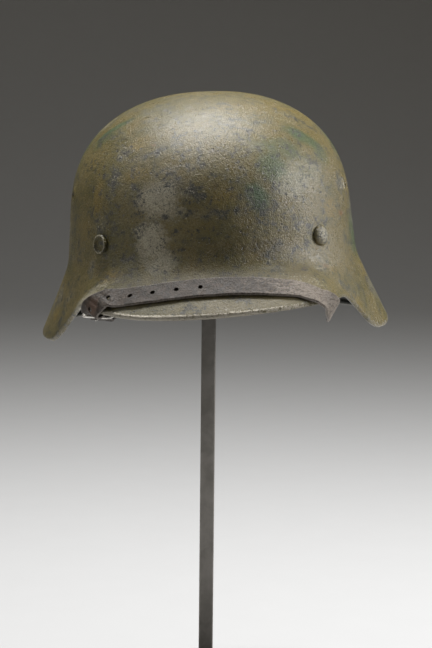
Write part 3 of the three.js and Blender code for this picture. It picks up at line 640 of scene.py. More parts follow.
def ventLift(points):
    # how far the wall is pressed out round either vent
    lift = np.zeros(len(points))
    for side in (1, -1):
        azimuth = side * vent["azimuth"]
        middle, aside, up, out = wallAxes(azimuth, float(domeStage(azimuth, vent["height"])))
        away = points - middle
        far = np.hypot(away @ aside, away @ up)
        far = np.where(away @ out > -12, far, 99.0)
        rise = 1 - smoothStep(far, vent["shoulder"], vent["footRadius"])
        lip = 0.55 + 0.45 * smoothStep(far, vent["holeRadius"], vent["shoulder"] - 0.9)
        lift = lift + vent["rise"] * rise * lip
    return lift


def liftedShell(azimuth, stage, depth=0.0):
    # dents, ripples and the vents' bosses are in the surface itself
    azimuth, stage = np.ravel(azimuth), np.ravel(stage)
    base = onShell(azimuth, stage)
    ripple = 0.16 * np.sin(np.radians(azimuth) * 5 + 1.3) * np.sin(base[:, 2] * 0.06 + 0.4)
    ripple += 0.10 * np.sin(np.radians(azimuth) * 11 + base[:, 2] * 0.09)
    fade = smoothStep(shell["height"] - base[:, 2], 4, 30)
    return onShell(azimuth, stage, ventLift(base) + ripple * fade - depth)


def makeShell(material):
    columns = shell["columns"]
    azimuths = 360 * np.arange(columns) / columns
    stages = np.r_[np.arange(1, shell["domeRows"] + 1) / shell["domeRows"],
                   1 + np.arange(1, shell["kneeRows"] + 1) / shell["kneeRows"],
                   2 + np.arange(1, shell["flareRows"] + 1) / shell["flareRows"]]
    rowCount = len(stages)
    grid = [(azimuths, np.full(columns, stage)) for stage in stages]

    points, insideMask = [], []
    outer = np.concatenate([liftedShell(a, s) for a, s in grid])
    points.append(outer)
    insideMask.append(np.zeros(len(outer)))
    rimRadii, rimHeights = wallProfile(azimuths, np.full(columns, 3.0))
    out, down = wallSlope(azimuths, np.full(columns, 3.0))
    bead = shell["beadRadius"]
    sweep = 2 * math.pi - math.acos((bead - shell["wall"]) / bead)
    for i in range(1, shell["beadRows"] + 1):
        turn = sweep * i / shell["beadRows"]
        along, inward = bead * math.sin(turn), bead * (1 - math.cos(turn))
        points.append(aroundAxis(azimuths, rimRadii + out * along + down * inward,
                                 rimHeights + down * along - out * inward, 0))
        insideMask.append(np.full(columns, smoothStep(i / shell["beadRows"], 0.3, 0.7)))
    inner = np.concatenate([liftedShell(a, s, shell["wall"]) for a, s in reversed(grid[:-1])])
    points.append(inner)
    insideMask.append(np.ones(len(inner)))
    total = 2 * rowCount - 1 + shell["beadRows"]
    faces = ringFaces(total, columns)

    # crown poles
    crown, crownInside = total * columns, total * columns + 1
    points.append(np.array([[0, shell["crestShift"], shell["height"]],
                            [0, shell["crestShift"], shell["height"] - shell["wall"]]]))
    insideMask.append(np.array([0.0, 1.0]))
    for c in range(columns):
        faces.append((crown, c, (c + 1) % columns))
        last = (total - 1) * columns
        faces.append((crownInside, last + (c + 1) % columns, last + c))

    # vents: a block of quads is taken out of each skin, and rings close in on the hole
    count = total * columns + 2
    skip = set()
    for side in (1, -1):
        azimuth = side * vent["azimuth"]
        middleColumn = round(azimuth / 360 * columns)
        stage = float(domeStage(azimuth, vent["height"]))
        middleRow = int(np.argmin(np.abs(stages - stage)))
        reachColumns, reachRows = 5, 7
        cols = [(middleColumn + k) % columns for k in range(-reachColumns, reachColumns + 1)]
        rows = list(range(middleRow - reachRows, middleRow + reachRows + 1))
        loop = ([(rows[0], c) for c in cols] + [(r, cols[-1]) for r in rows[1:]]
                + [(rows[-1], c) for c in reversed(cols[:-1])]
                + [(r, cols[0]) for r in reversed(rows[1:-1])])
        unwrapped = [(azimuth + (azimuths[c] - azimuth + 180) % 360 - 180, stages[r]) for r, c in loop]
        rings = ventHoleStages(side, np.array(unwrapped), vent["rings"])
        skins = []
        for depth, rowOf in ((0.0, lambda r: r), (shell["wall"], lambda r: total - 1 - r)):
            before = [rowOf(r) * columns + c for r, c in loop]
            for r in rows[:-1]:
                for c in cols[:-1]:
                    skip.add(min(rowOf(r), rowOf(r + 1)) * columns + c)
            for a, s in rings:
                ringPoints = liftedShell(a, s, depth)
                points.append(ringPoints)
                insideMask.append(np.full(len(ringPoints), 1.0 if depth else 0.0))
                here = list(range(count, count + len(loop)))
                count += len(loop)
                for k in range(len(loop)):
                    n = (k + 1) % len(loop)
                    quad = (before[k], before[n], here[n], here[k])
                    faces.append(quad if not depth else quad[::-1])
                before = here
            skins.append(before)
        for k in range(len(loop)):
            n = (k + 1) % len(loop)
            faces.append((skins[0][k], skins[0][n], skins[1][n], skins[1][k]))
    faces = [f for f in faces if not (len(f) == 4 and f[1] == f[0] + columns and f[0] in skip)]

    verts = np.concatenate(points)
    piece = addPiece("shell_steel", verts, faces, material, ["shell"], helmetPlace, 50)
    storeMasks(piece, markMasks(verts, np.concatenate(insideMask)))
    return piece


# Rivets: the right and rear ones domed, the left one a ring round a dish

rivet = {"azimuth": 41.5, "height": 66.2, "radius": 6.7, "ringRadius": 6.3, "rise": 3.7,
         "sides": 48, "clinch": 5.5, "shank": 2.5, "under": 0.25}


def rivetProfile(dished):
    r, h = rivet["ringRadius"] if dished else rivet["radius"], rivet["rise"]
    clinch, shank, under = rivet["clinch"], rivet["shank"], rivet["under"]
    rows = [(0.05, -3.0), (clinch - 0.5, -3.0), (clinch, -2.6), (clinch, -1.9),
            (shank, -1.8), (shank, under), (r - 0.5, under), (r, under + 0.4)]
    if dished:
        rows += [(r, 1.7), (r - 0.15, 2.3), (r - 0.5, 2.65), (r - 0.9, 2.6), (r - 1.25, 2.1),
                 (r - 1.5, 1.45), (r - 1.9, 1.1), (r - 2.8, 1.05), (r - 4.2, 1.3), (0.05, 1.55)]
    else:
        for bend in np.radians(np.arange(12, 90, 9)):
            rows.append((r * math.cos(bend)**0.85, under + 0.4 + (h - 0.65) * math.sin(bend)))
        rows.append((0.05, under - 0.25 + h))
    return rows


def makeRivet(name, azimuth, dished, material):
    stage = float(domeStage(azimuth, rivet["height"]))
    middle, aside, up, out = wallAxes(azimuth, stage)
    rows = rivetProfile(dished)
    sides = rivet["sides"]
    turns = 2 * math.pi * np.arange(sides) / sides
    verts = []
    for i, (radius, height) in enumerate(rows):
        wobble = 1 + 0.018 * np.sin(3 * turns + azimuth) + 0.012 * np.sin(5 * turns + i)
        tilt = 0.12 * (radius / rivet["radius"]) * np.cos(turns - 0.7)
        verts.append(middle + np.outer(radius * wobble * np.cos(turns), aside)
                     + np.outer(radius * wobble * np.sin(turns), up) + np.outer(height + tilt, out))
    verts = np.concatenate(verts)
    faces = [tuple(f[::-1]) for f in ringFaces(len(rows), sides)]
    faces.append(tuple(range(sides))[::-1])
    faces.append(tuple(range((len(rows) - 1) * sides, len(rows) * sides)))
    piece = addPiece(name + "_head", verts, faces, material, [name], helmetPlace, 50)
    masks = markMasks(verts, np.repeat([1.0 if h < -1 else 0.0 for _, h in rows], sides))
    heights = np.repeat([h for _, h in rows], sides)
    radii = np.repeat([r for r, _ in rows], sides)
    # painted shadow round the foot of the head
    foot = 1 - smoothStep(heights, 0.2, 0.9)
    masks["dark"] = np.maximum(masks["dark"], 0.9 * foot * (heights > -0.5))
    if dished:
        # painted shade in the dish at the foot of the ring
        masks["dark"] = np.maximum(masks["dark"], 0.8 * np.exp(-((radii - 4.3) / 0.7)**2) * (heights > 0.9))
        # the ring's lip: worn paint, and partly a painted highlight
        masks["worn"] = np.maximum(masks["worn"], 1.2 * smoothStep(heights, 2.2, 2.6))
    else:
        masks["slate"] = np.maximum(masks["slate"], 0.8 * smoothStep(heights, 0.8, 3.0))
        masks["worn"] = np.maximum(masks["worn"], 0.35 * smoothStep(heights, 2.6, 3.4))
    storeMasks(piece, masks)
    return piece


paint = camouflagePaint()
makeShell(paint)
print("shell made")
makeRivet("rivet_front_right", rivet["azimuth"], False, paint)
makeRivet("rivet_front_left", -rivet["azimuth"], True, paint)
makeRivet("rivet_rear", 180, False, paint)
print("rivets made")


# Chin strap: both halves follow the same stations as their solids

strap = {
    "width": 15.0, "thickness": 1.8, "gapToShell": 0.5, "fromRim": 14.6,
    "dropRight": 0.0205, "dropLeft": 0.0160,
    "holeRadius": 1.5, "holePitch": 15.0, "holesPastBuckle": 3, "holesOnVisor": 6, "foldLength": 4.2,
    "lapOnBale": 17, "lapOnBuckle": 13, "lapGap": 0.4, "lapBend": 50, "lapSteps": 7,
    "stepLength": 0.75, "edgeRound": 0.55, "brownSpot": (-74.5, -112.5, 29.5), "brownReach": 7.5,
}
bale = {"azimuth": 76, "height": 58, "standOff": 5.4, "thickness": 1.6, "length": 19, "barHeight": 2.6,
        "lean": 32, "toeIn": 8}
buckle = {"outerWidth": 21, "outerDepth": 16, "wire": 2.0, "eyeGap": 0.45, "cornerRadius": 2.6}
gap = 0.3

leatherLook = {
    "face": (0.046, 0.031, 0.019),
    "dark": (0.022, 0.016, 0.011),
    "dusty": (0.108, 0.080, 0.054),
    "grey": (0.215, 0.180, 0.145),
    "edge": (0.30, 0.265, 0.235),
    "brown": (0.125, 0.070, 0.045),
    "grainDepth": 0.22,       # millimetres
    "wrinkleDepth": 0.45,
    "gloss": 0.58,
}


def wornLeather():
    look = leatherLook
    material, tree, shader = newMaterial("worn strap leather")
    place = pieceMillimetres(tree)
    blotchy = noise(tree, place, 6, 5, 0.65, 0.5)
    fine = noise(tree, place, 1.5, 5, 0.78)
    grain = cells(tree, place, 0.8)
    scuffed = noise(tree, stretched(tree, place, 0.4, 0.4, 1.3), 1.5, 6, 0.75, 0.5)
    cracks = cells(tree, stretched(tree, place, 1.0, 1.0, 0.5), 2.4, "DISTANCE_TO_EDGE")
    color = mixed(tree, between(tree, blotchy, 0.38, 0.64), look["face"], look["dark"])
    # dusty patches, and painted sheen making the strap paler toward its right end
    dustAndSheen = sumOf(tree, fine, times(tree, painted(tree, "dustAndSheen"), 0.09))
    color = mixed(tree, between(tree, dustAndSheen, 0.50, 0.64, 0, 0.65), color, look["dusty"])
    pale = sumOf(tree, scuffed, times(tree, painted(tree, "dustAndSheen"), 0.21))
    color = mixed(tree, between(tree, pale, 0.59, 0.72, 0, 0.8), color, look["grey"])
    crack = between(tree, cracks.outputs["Distance"], 0.07, 0.0, 0, 0.6)
    color = mixed(tree, crack, color, look["dark"])
    # pale edges: worn leather, and partly a painted highlight along them
    rim = sumOf(tree, times(tree, painted(tree, "edge"), 0.8), offset(tree, fine, 0, 1.4))
    color = mixed(tree, between(tree, rim, 0.40, 0.85, 0, 0.8), color, look["edge"])
    bent = sumOf(tree, painted(tree, "brown"), offset(tree, blotchy, 0, 0.8))
    color = mixed(tree, between(tree, bent, 0.3, 0.9, 0, 0.85), color, look["brown"])
    color = mixed(tree, between(tree, painted(tree, "hole"), 0.25, 0.9, 0, 0.85), color, look["dark"])
    link(tree, color, shader.inputs["Base Color"])
    link(tree, offset(tree, fine, look["gloss"], 0.5), shader.inputs["Roughness"])
    shader.inputs["Specular IOR Level"].default_value = 0.5
    relief = bumped(tree, grain.outputs["Distance"], look["grainDepth"])
    relief = bumped(tree, fine, look["wrinkleDepth"], 0.9, relief)
    relief = bumped(tree, sumOf(tree, 1.0, crack, "SUBTRACT"), 0.25, 0.8, relief)
    relief = bumped(tree, blotchy, 0.8, 0.7, relief)
    link(tree, relief, shader.inputs["Normal"])
    return material


def unit(v):
    v = np.asarray(v, float)
    return v / np.linalg.norm(v)


def baleAxes(side):
    # middle, then the directions to the slot, along the bar and into the hollow
    reach = float(wallRadius(bale["azimuth"])) - shell["wall"] - bale["standOff"]
    middle = aroundAxis(side * bale["azimuth"], reach, bale["height"], 0)
    inward = aroundAxis(side * bale["azimuth"], -1.0, 0.0, 0)
    up = np.array([0, 0, 1.0])
    ahead = np.cross(up, inward) * side
    ahead = unit(ahead + inward * math.tan(math.radians(bale["toeIn"])))
    lean = math.radians(bale["lean"])
    toSlot = ahead * math.cos(lean) - up * math.sin(lean)
    across = unit(np.cross(inward, toSlot))
    return middle, toSlot, across, np.cross(toSlot, across)


def buckleAxes():
    bars = unit([0.957, -0.283, -0.07])
    inward = np.array([0.29, 0.94, 0.14])
    inward = unit(inward - bars * (inward @ bars))
    frontBar = np.array([-74.7, -103, 22.1])
    middle = frontBar + inward * (buckle["outerDepth"] / 2 - buckle["wire"] / 2)
    return middle, bars, inward, np.cross(bars, inward)


def lapAround(middle, away, normal, across, barReach, clearance, lap):
    turn = clearance + strap["thickness"] / 2
    sheet = strap["thickness"] / 2 + strap["lapGap"] / 2
    row = lambda x, z: (middle + away * x + normal * z, across)
    rows = [row(barReach + lap, sheet), row(barReach + lap * 0.6, sheet)]
    for i in range(strap["lapSteps"] + 1):
        a = math.radians(strap["lapBend"] + (360 - 2 * strap["lapBend"]) * i / strap["lapSteps"])
        rows.append(row(barReach + turn * math.cos(a), turn * math.sin(a)))
    rows += [row(barReach + lap * 0.6, -sheet), row(barReach + lap, -sheet)]
    return rows


def onBale(side):
    middle, toSlot, across, face = baleAxes(side)
    clearance = math.hypot(bale["thickness"], bale["barHeight"]) / 2 + gap
    barReach = bale["length"] - bale["barHeight"] / 2
    return lapAround(middle, toSlot, face, -side * across, barReach, clearance, strap["lapOnBale"])


def longStations():
    rows = onBale(1)
    rows += [
        ([79.0, -76, 26], [-0.30, 0.10, -0.95]),
        ([76.0, -91, 19.8], [-0.40, -0.15, -0.90]),
        ([76.0, -104.2, 19.6], [-0.51, -0.37, -0.78]),
        ([74.6, -113.4, 23.6], [-0.53, -0.55, -0.65]),
        ([70.0, -120.4, 29.4], [-0.30, -0.86, -0.42]),
    ]
    for azimuth in range(24, -27, -5):
        drop = strap["dropRight"] if azimuth > 0 else strap["dropLeft"]
        toMiddle = strap["fromRim"] - drop * azimuth**2 + strap["width"] / 2
        r0, z0 = wallProfile(azimuth, np.float64(2))
        r1, z1 = wallProfile(azimuth, np.float64(3))
        stage = 3 - toMiddle / math.hypot(r1 - r0, z1 - z0)
        out, down = wallSlope(azimuth, np.float64(3))
        rows.append((onShell(azimuth, stage, strap["gapToShell"] + strap["thickness"] / 2),
                     aroundAxis(azimuth, out, down, 0)))
    rows += [
        ([-66.8, -117.0, 35.2], [0.28, -0.80, -0.53]),
        ([-73.8, -115.0, 31.6], [0.52, -0.68, -0.52]),
        ([-77.6, -111.2, 27.2], [0.66, -0.50, -0.56]),
        ([-77.0, -107.4, 24.3], [0.86, -0.42, -0.28]),
    ]
    middle, bars, inward, up = buckleAxes()
    for y, z in [(-7, 2.6), (-3.6, 1.3), (-0.5, -1.8), (3, -4.4), (7, -4.9), (12, -4.6)]:
        rows.append((middle + inward * y + up * z, bars))
    rows += [
        ([-64.5, -73, 21.6], [0.95, -0.28, 0.02]),
        ([-60.0, -61, 23.5], [0.96, -0.20, 0.05]),
        ([-56.0, -49, 29.0], [0.97, -0.10, 0.05]),
    ]
    return rows


def shortStations():
    middle, bars, inward, up = buckleAxes()
    rearBar = buckle["outerDepth"] / 2 - buckle["wire"] / 2
    clearance = buckle["wire"] / 2 + buckle["eyeGap"]
    onBuckle = lapAround(middle, inward, -up, bars, rearBar, clearance, strap["lapOnBuckle"])[::-1]
    return onBale(-1) + [([-72.5, -60.5, 35.5], [0.25, 0.15, -0.95]),
                         ([-67.5, -68, 31.5], [0.75, -0.05, -0.65])] + onBuckle


def smoothPath(points, steps, centripetal):
    # points along a smooth curve through all the given ones, evenly spaced in the curve's own step
    points = np.asarray(points, float)
    padded = np.vstack([2 * points[0] - points[1], points, 2 * points[-1] - points[-2]])
    found = []
    for t in np.linspace(0, len(points) - 1, steps):
        i = min(int(t), len(points) - 2)
        w = t - i
        p0, p1, p2, p3 = padded[i:i + 4]
        if centripetal:
            d0, d1, d2 = (max(np.linalg.norm(b - a)**0.5, 1e-4) for a, b in ((p0, p1), (p1, p2), (p2, p3)))
            m1 = ((p1 - p0) / d0 - (p2 - p0) / (d0 + d1) + (p2 - p1) / d1) * d1
            m2 = ((p2 - p1) / d1 - (p3 - p1) / (d1 + d2) + (p3 - p2) / d2) * d1
        else:
            m1, m2 = (p2 - p0) / 2, (p3 - p1) / 2
        found.append((2 * w**3 - 3 * w**2 + 1) * p1 + (w**3 - 2 * w**2 + w) * m1
                     + (3 * w**2 - 2 * w**3) * p2 + (w**3 - w**2) * m2)
    return np.array(found)


def strapLine(stations):
    # evenly spaced middles with the directions along, across and out of the strap
    dense = 40 * len(stations)
    middles = smoothPath([s[0] for s in stations], dense, True)
    sideways = smoothPath([s[1] for s in stations], dense, False)
    length = np.r_[0, np.cumsum(np.linalg.norm(np.diff(middles, axis=0), axis=1))]
    count = int(length[-1] / strap["stepLength"]) + 1
    at = np.linspace(0, length[-1], count)
    middles = np.stack([np.interp(at, length, middles[:, k]) for k in range(3)], -1)
    sideways = np.stack([np.interp(at, length, sideways[:, k]) for k in range(3)], -1)
    along = np.gradient(middles, axis=0)
    along /= np.linalg.norm(along, axis=1)[:, None]
    across = sideways - along * np.sum(sideways * along, axis=1)[:, None]
    across /= np.linalg.norm(across, axis=1)[:, None]
    return at, middles, along, across, np.cross(across, along)


def strapSection():
    # offsets across and out of the strap, round its section, with rounded edges
    half, thick, r = strap["width"] / 2, strap["thickness"] / 2, strap["edgeRound"]
    rows = [(u, thick) for u in np.linspace(-half + r, half - r, 22)]
    rows += [(half - r + r * math.sin(a), thick - r + r * math.cos(a)) for a in np.radians([30, 60, 90])]
    lower = [(-u, -v) for u, v in rows]
    return np.array(rows + lower)


def nearestIndex(middles, point):
    return int(np.argmin(np.linalg.norm(middles - np.asarray(point), axis=1)))


def makeStrap(name, stations, holes, node, material, creases, tailEnd):
    # a crease is a point near it, its slant, depth, width and how far across the strap it lies
    at, middles, along, across, face = strapLine(stations)
    folds = [(at[nearestIndex(middles, point)], *rest) for point, *rest in creases]
    section = strapSection()
    n = len(section)
    dice = np.random.default_rng(5)
    phases = dice.uniform(0, 6.28, 12)
    u, v = section[:, 0], section[:, 1]
    verts = []
    for i in range(len(at)):
        s = at[i]
        # the edges are a little uneven, and the strap cups and ripples slightly
        edgeWave = 1 + 0.012 * math.sin(s * 0.21 + phases[0]) + 0.008 * math.sin(s * 0.53 + phases[1])
        push = 0.10 * np.sin(s * 0.33 + phases[2] + u * 0.5) + 0.07 * np.sin(s * 0.9 + phases[3] - u * 0.8)
        for where, slant, depth, wide, middle in folds:
            push = push + depth * np.exp(-((s - where - slant * u) / wide)**2 - ((u - middle) / 6)**2)
        narrow = 1.0
        if tailEnd and at[-1] - s < 6:
            narrow = math.sqrt(max(1 - ((6 - (at[-1] - s)) / 6.2)**2, 0.02))
        verts.append(middles[i] + np.outer(u * edgeWave * narrow, across[i]) + np.outer(v + push, face[i]))
    verts = np.concatenate(verts)
    faces = [tuple(f[::-1]) for f in ringFaces(len(at), n)]
    faces.append(tuple(range(n)))
    faces.append(tuple(range((len(at) - 1) * n, len(at) * n))[::-1])
    piece = addPiece(name, verts, faces, material, [node], helmetPlace, 60)
    punchHoles(piece, [(middles[i], across[i], along[i], face[i]) for i in holes])
    markLeather(piece, middles, across, holes)
    return piece, at


def punchHoles(piece, spots):
    for k, (middle, across, along, face) in enumerate(spots):
        sides = 20
        turns = 2 * math.pi * np.arange(sides) / sides
        ring = np.outer(np.cos(turns), across) + np.outer(np.sin(turns), along)
        radius = strap["holeRadius"] * (1 + 0.06 * math.sin(7.0 * k))
        verts = np.concatenate([middle + ring * radius + face * h for h in (-2.4, 2.4)])
        punch = bpy.data.meshes.new("punch")
        walls = [(c, (c + 1) % sides, sides + (c + 1) % sides, sides + c) for c in range(sides)]
        ends = [tuple(range(sides))[::-1], tuple(range(sides, 2 * sides))]
        punch.from_pydata((moved(verts, helmetPlace) * mm).tolist(), [], walls + ends)
        tool = bpy.data.objects.new("punch", punch)
        bpy.context.scene.collection.objects.link(tool)
        cut = piece.modifiers.new("hole", "BOOLEAN")
        cut.operation = "DIFFERENCE"
        cut.solver = "EXACT"
        cut.object = tool
        applyModifiers(piece)
        bpy.data.objects.remove(tool)


def applyModifiers(piece):
    bpy.context.view_layer.update()
    depsgraph = bpy.context.evaluated_depsgraph_get()
    finished = bpy.data.meshes.new_from_object(piece.evaluated_get(depsgraph))
    piece.modifiers.clear()
    piece.data = finished


def markLeather(piece, middles, across, holes):
    verts = np.empty(len(piece.data.vertices) * 3)
    piece.data.vertices.foreach_get("co", verts)
    verts = moved(verts.reshape(-1, 3) / mm, helmetPlace.inverted())
    nearest = np.zeros(len(verts), int)
    for start in range(0, len(verts), 4000):
        block = verts[start:start + 4000]
        nearest[start:start + 4000] = np.argmin(
            ((block[:, None, :] - middles[None, :, :])**2).sum(2), axis=1)
    sideways = np.abs(np.sum((verts - middles[nearest]) * across[nearest], axis=1))
    holeMask = np.zeros(len(verts))
    for i in holes:
        far = np.linalg.norm(verts - middles[i], axis=1)
        radius = strap["holeRadius"]
        holeMask = np.maximum(holeMask, 1 - smoothStep(far, radius - 0.1, radius + 0.9))
    brown = np.exp(-(np.linalg.norm(verts - np.array(strap["brownSpot"]), axis=1) / strap["brownReach"])**2)
    # painted sheen: the strap is paler toward its right end
    dustAndSheen = smoothStep(verts[:, 0], 15, 60)
    edge = smoothStep(sideways, 6.3, 7.4)
    storeMasks(piece, {"edge": edge, "hole": holeMask, "brown": brown, "dustAndSheen": dustAndSheen})


leather = wornLeather()
longRows = longStations()
longAt, longMiddles, _, _, _ = strapLine(longRows)
buckleMiddle, _, buckleInward, buckleUp = buckleAxes()
prongCrossing = nearestIndex(longMiddles, buckleMiddle - buckleInward * 0.3 - buckleUp * 2.0)


def holeIndices(at, prong):
    step = strap["holePitch"]
    wanted = [at[prong] - step * k - strap["foldLength"] for k in range(strap["holesOnVisor"], 0, -1)]
    wanted += [at[prong] + step * k for k in range(0, strap["holesPastBuckle"] + 1)]
    return [int(np.argmin(np.abs(at - w))) for w in wanted]


longHoles = holeIndices(longAt, prongCrossing)
templeFolds = [
    ([-62.0, -119.5, 37.0], 0.50, -0.7, 1.3, 4), ([-66.8, -117.0, 35.2], -0.65, 0.8, 1.1, 2),
    ([-70.0, -116.5, 33.5], 0.80, -0.9, 1.2, 0), ([-73.8, -115.0, 31.6], -0.45, 0.8, 1.2, -1),
    ([-77.6, -111.2, 27.2], 0.35, -0.7, 1.3, 2), ([70.0, -120.4, 29.4], 0.45, 0.5, 1.5, 2),
    ([74.6, -113.4, 23.6], -0.30, -0.6, 1.6, 0), ([76.0, -104.2, 19.6], 0.30, 0.5, 2.0, 0),
]
makeStrap("chin_strap_long", longRows, longHoles, "strap_long", leather, templeFolds, True)
shortAt = makeStrap("chin_strap_short", shortStations(), [], "strap_short", leather, [], False)[1]
print("strap made, long half", round(longAt[-1]), "mm, short half", round(shortAt[-1]), "mm")


# Metal of the buckle, the bales and the stand

metals = {
    "buckle": {"bright": (0.78, 0.75, 0.70), "dull": (0.33, 0.29, 0.24), "rough": 0.26, "scratch": 1.2},
    "bale": {"bright": (0.10, 0.10, 0.095), "dull": (0.035, 0.032, 0.03), "rough": 0.5, "scratch": 2.0},
    "stand": {"bright": (0.26, 0.245, 0.225), "dull": (0.20, 0.188, 0.17), "rough": 0.32, "scratch": 0.8},
}


def wornMetal(name):
    look = metals[name]
    material, tree, shader = newMaterial(name + " steel")
    place = pieceMillimetres(tree)
    shader.inputs["Metallic"].default_value = 1.0
    cloudy = noise(tree, place, 14, 4, 0.6, 0.4)
    fine = noise(tree, place, 1.1, 4, 0.65)
    lines = noise(tree, stretched(tree, place, 2.6, 2.6, 0.03), look["scratch"], 4, 0.6)
    color = mixed(tree, between(tree, cloudy, 0.35, 0.7), look["bright"], look["dull"])
    color = mixed(tree, between(tree, fine, 0.55, 0.75, 0, 0.4), color, look["dull"])
    link(tree, color, shader.inputs["Base Color"])
    rough = sumOf(tree, look["rough"] - 0.1, times(tree, lines, 0.3))
    rough = sumOf(tree, rough, times(tree, cloudy, 0.12))
    link(tree, rough, shader.inputs["Roughness"])
    relief = bumped(tree, lines, 0.035)
    relief = bumped(tree, fine, 0.03, 0.7, relief)
    link(tree, relief, shader.inputs["Normal"])
    return material


def blackRubber():
    material, tree, shader = newMaterial("pad rubber")
    place = pieceMillimetres(tree)
    cloudy = noise(tree, place, 6, 4)
    fine = noise(tree, place, 0.8, 3)
    color = mixed(tree, cloudy, (0.012, 0.012, 0.012), (0.035, 0.034, 0.032))
    link(tree, color, shader.inputs["Base Color"])
    link(tree, between(tree, cloudy, 0.2, 0.8, 0.6, 0.85), shader.inputs["Roughness"])
    link(tree, bumped(tree, fine, 0.08), shader.inputs["Normal"])
    return material


def tubeAlong(points, radii, sides, closed):
    # a round wire through points, with a radius at each
    points = np.asarray(points, float)
    count = len(points)
    ahead = (np.roll(points, -1, 0) - np.roll(points, 1, 0)) if closed else np.gradient(points, axis=0)
    ahead /= np.linalg.norm(ahead, axis=1)[:, None]
    normal = unit(np.cross(ahead[0], [0.13, 0.21, 0.97]))
    verts = []
    turns = 2 * math.pi * np.arange(sides) / sides
    for i in range(count):
        normal = unit(normal - ahead[i] * (normal @ ahead[i]))
        other = np.cross(ahead[i], normal)
        ring = np.outer(np.cos(turns), normal) + np.outer(np.sin(turns), other)
        verts.append(points[i] + radii[i] * ring)
    faces = [tuple(f[::-1]) for f in ringFaces(count, sides)]
    if closed:
        # the last ring joins the first at the turn that fits best
        first, last = verts[0], verts[-1]
        shift = int(np.argmin([np.linalg.norm(np.roll(first, -k, 0) - last) for k in range(sides)]))
        for c in range(sides):
            a, b = (count - 1) * sides + c, (count - 1) * sides + (c + 1) % sides
            faces.append((a, b, (c + 1 + shift) % sides, (c + shift) % sides))
    else:
        faces.append(tuple(range(sides)))
        faces.append(tuple(range((count - 1) * sides, count * sides))[::-1])
    return np.concatenate(verts), faces


def makeBuckle(material):
    middle, bars, inward, _ = buckleAxes()
    wire = buckle["wire"] / 2
    halfX, halfY = buckle["outerWidth"] / 2 - wire, buckle["outerDepth"] / 2 - wire
    r = buckle["cornerRadius"]
    path = []
    for cx, cy, start in ((1, 1, 0), (-1, 1, 90), (-1, -1, 180), (1, -1, 270)):
        for a in np.radians(np.linspace(start, start + 90, 9)):
            path.append((cx * (halfX - r) + r * math.cos(a), cy * (halfY - r) + r * math.sin(a)))
    dense = []
    for i, (x, y) in enumerate(path):
        nx, ny = path[(i + 1) % len(path)]
        pieces = max(1, int(math.hypot(nx - x, ny - y) / 0.8))
        dense += [(x + (nx - x) * k / pieces, y + (ny - y) * k / pieces) for k in range(pieces)]
    points = [middle + bars * x + inward * y for x, y in dense]
    # the bars are worn a little thin in the middle
    radii = [wire * (1 - 0.10 * math.exp(-(x / 3.0)**2)) for x, _ in dense]
    verts, faces = tubeAlong(points, radii, 16, True)
    return addPiece("buckle_wire", verts, faces, material, ["buckle_frame"], helmetPlace, 60)


def makeProng(material):
    middle, _, inward, up = buckleAxes()
    rearBar = buckle["outerDepth"] / 2 - buckle["wire"] / 2
    eye = buckle["wire"] / 2 + buckle["eyeGap"] + 0.55
    route = []
    for a in np.radians(np.arange(-60, 206, 15)):      # round the rear bar
        route.append((rearBar + eye * math.cos(a), eye * math.sin(a)))
    route += [(rearBar - 2.6, -1.75), (rearBar - 5.0, -1.8), (0.5, -2.0), (-4.0, -2.15),
              (-rearBar - 0.9, -2.25)]
    flat = smoothPath([(y, z, 0) for y, z in route], 90, True)
    points = [middle + inward * p[0] + up * p[1] for p in flat]
    radii = 0.72 * np.ones(len(points))
    radii[-8:] *= np.linspace(1, 0.55, 8)
    verts, faces = tubeAlong(points, radii, 12, False)
    return addPiece("buckle_pin", verts, faces, material, ["buckle_prong"], helmetPlace, 60)


def makeBox(name, size, low, chamfer, material, node, steps=4):
    # a square bar or plate with softened edges
    x, y, z = (v / 2 for v in size)
    corners = [(sx * x, sy * y, sz * z + low + z) for sz in (-1, 1) for sy in (-1, 1) for sx in (-1, 1)]
    faces = [(0, 2, 3, 1), (4, 5, 7, 6), (0, 1, 5, 4), (2, 6, 7, 3), (0, 4, 6, 2), (1, 3, 7, 5)]
    piece = addPiece(name, corners, faces, material, [node])
    bevel = piece.modifiers.new("softEdges", "BEVEL")
    bevel.width = chamfer * mm
    bevel.segments = steps
    applyModifiers(piece)
    piece.data.shade_smooth()
    piece.data.set_sharp_from_angle(angle=math.radians(25))
    return piece


stand = {"postSide": 10.0, "postLow": 8.3, "postHigh": 422.9, "postEdge": 1.2,
         "baseSide": 180.0, "baseThickness": 8.0, "baseEdge": 1.2}

buckleSteel, baleSteel, standSteel = wornMetal("buckle"), wornMetal("bale"), wornMetal("stand")
makeBuckle(buckleSteel)
makeProng(buckleSteel)
makeBox("post", (stand["postSide"], stand["postSide"], stand["postHigh"] - stand["postLow"]),
        stand["postLow"], stand["postEdge"], standSteel, "stand_post", 3)
makeBox("base_plate", (stand["baseSide"], stand["baseSide"], stand["baseThickness"]), 0,
        stand["baseEdge"], standSteel, "stand_base")
for node, material in (("bale_right", baleSteel), ("bale_left", baleSteel), ("stand_pad", blackRubber())):
    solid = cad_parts[node]
    solid.data.materials.clear()
    solid.data.materials.append(material)
print("metal made")


# Floor, light and camera

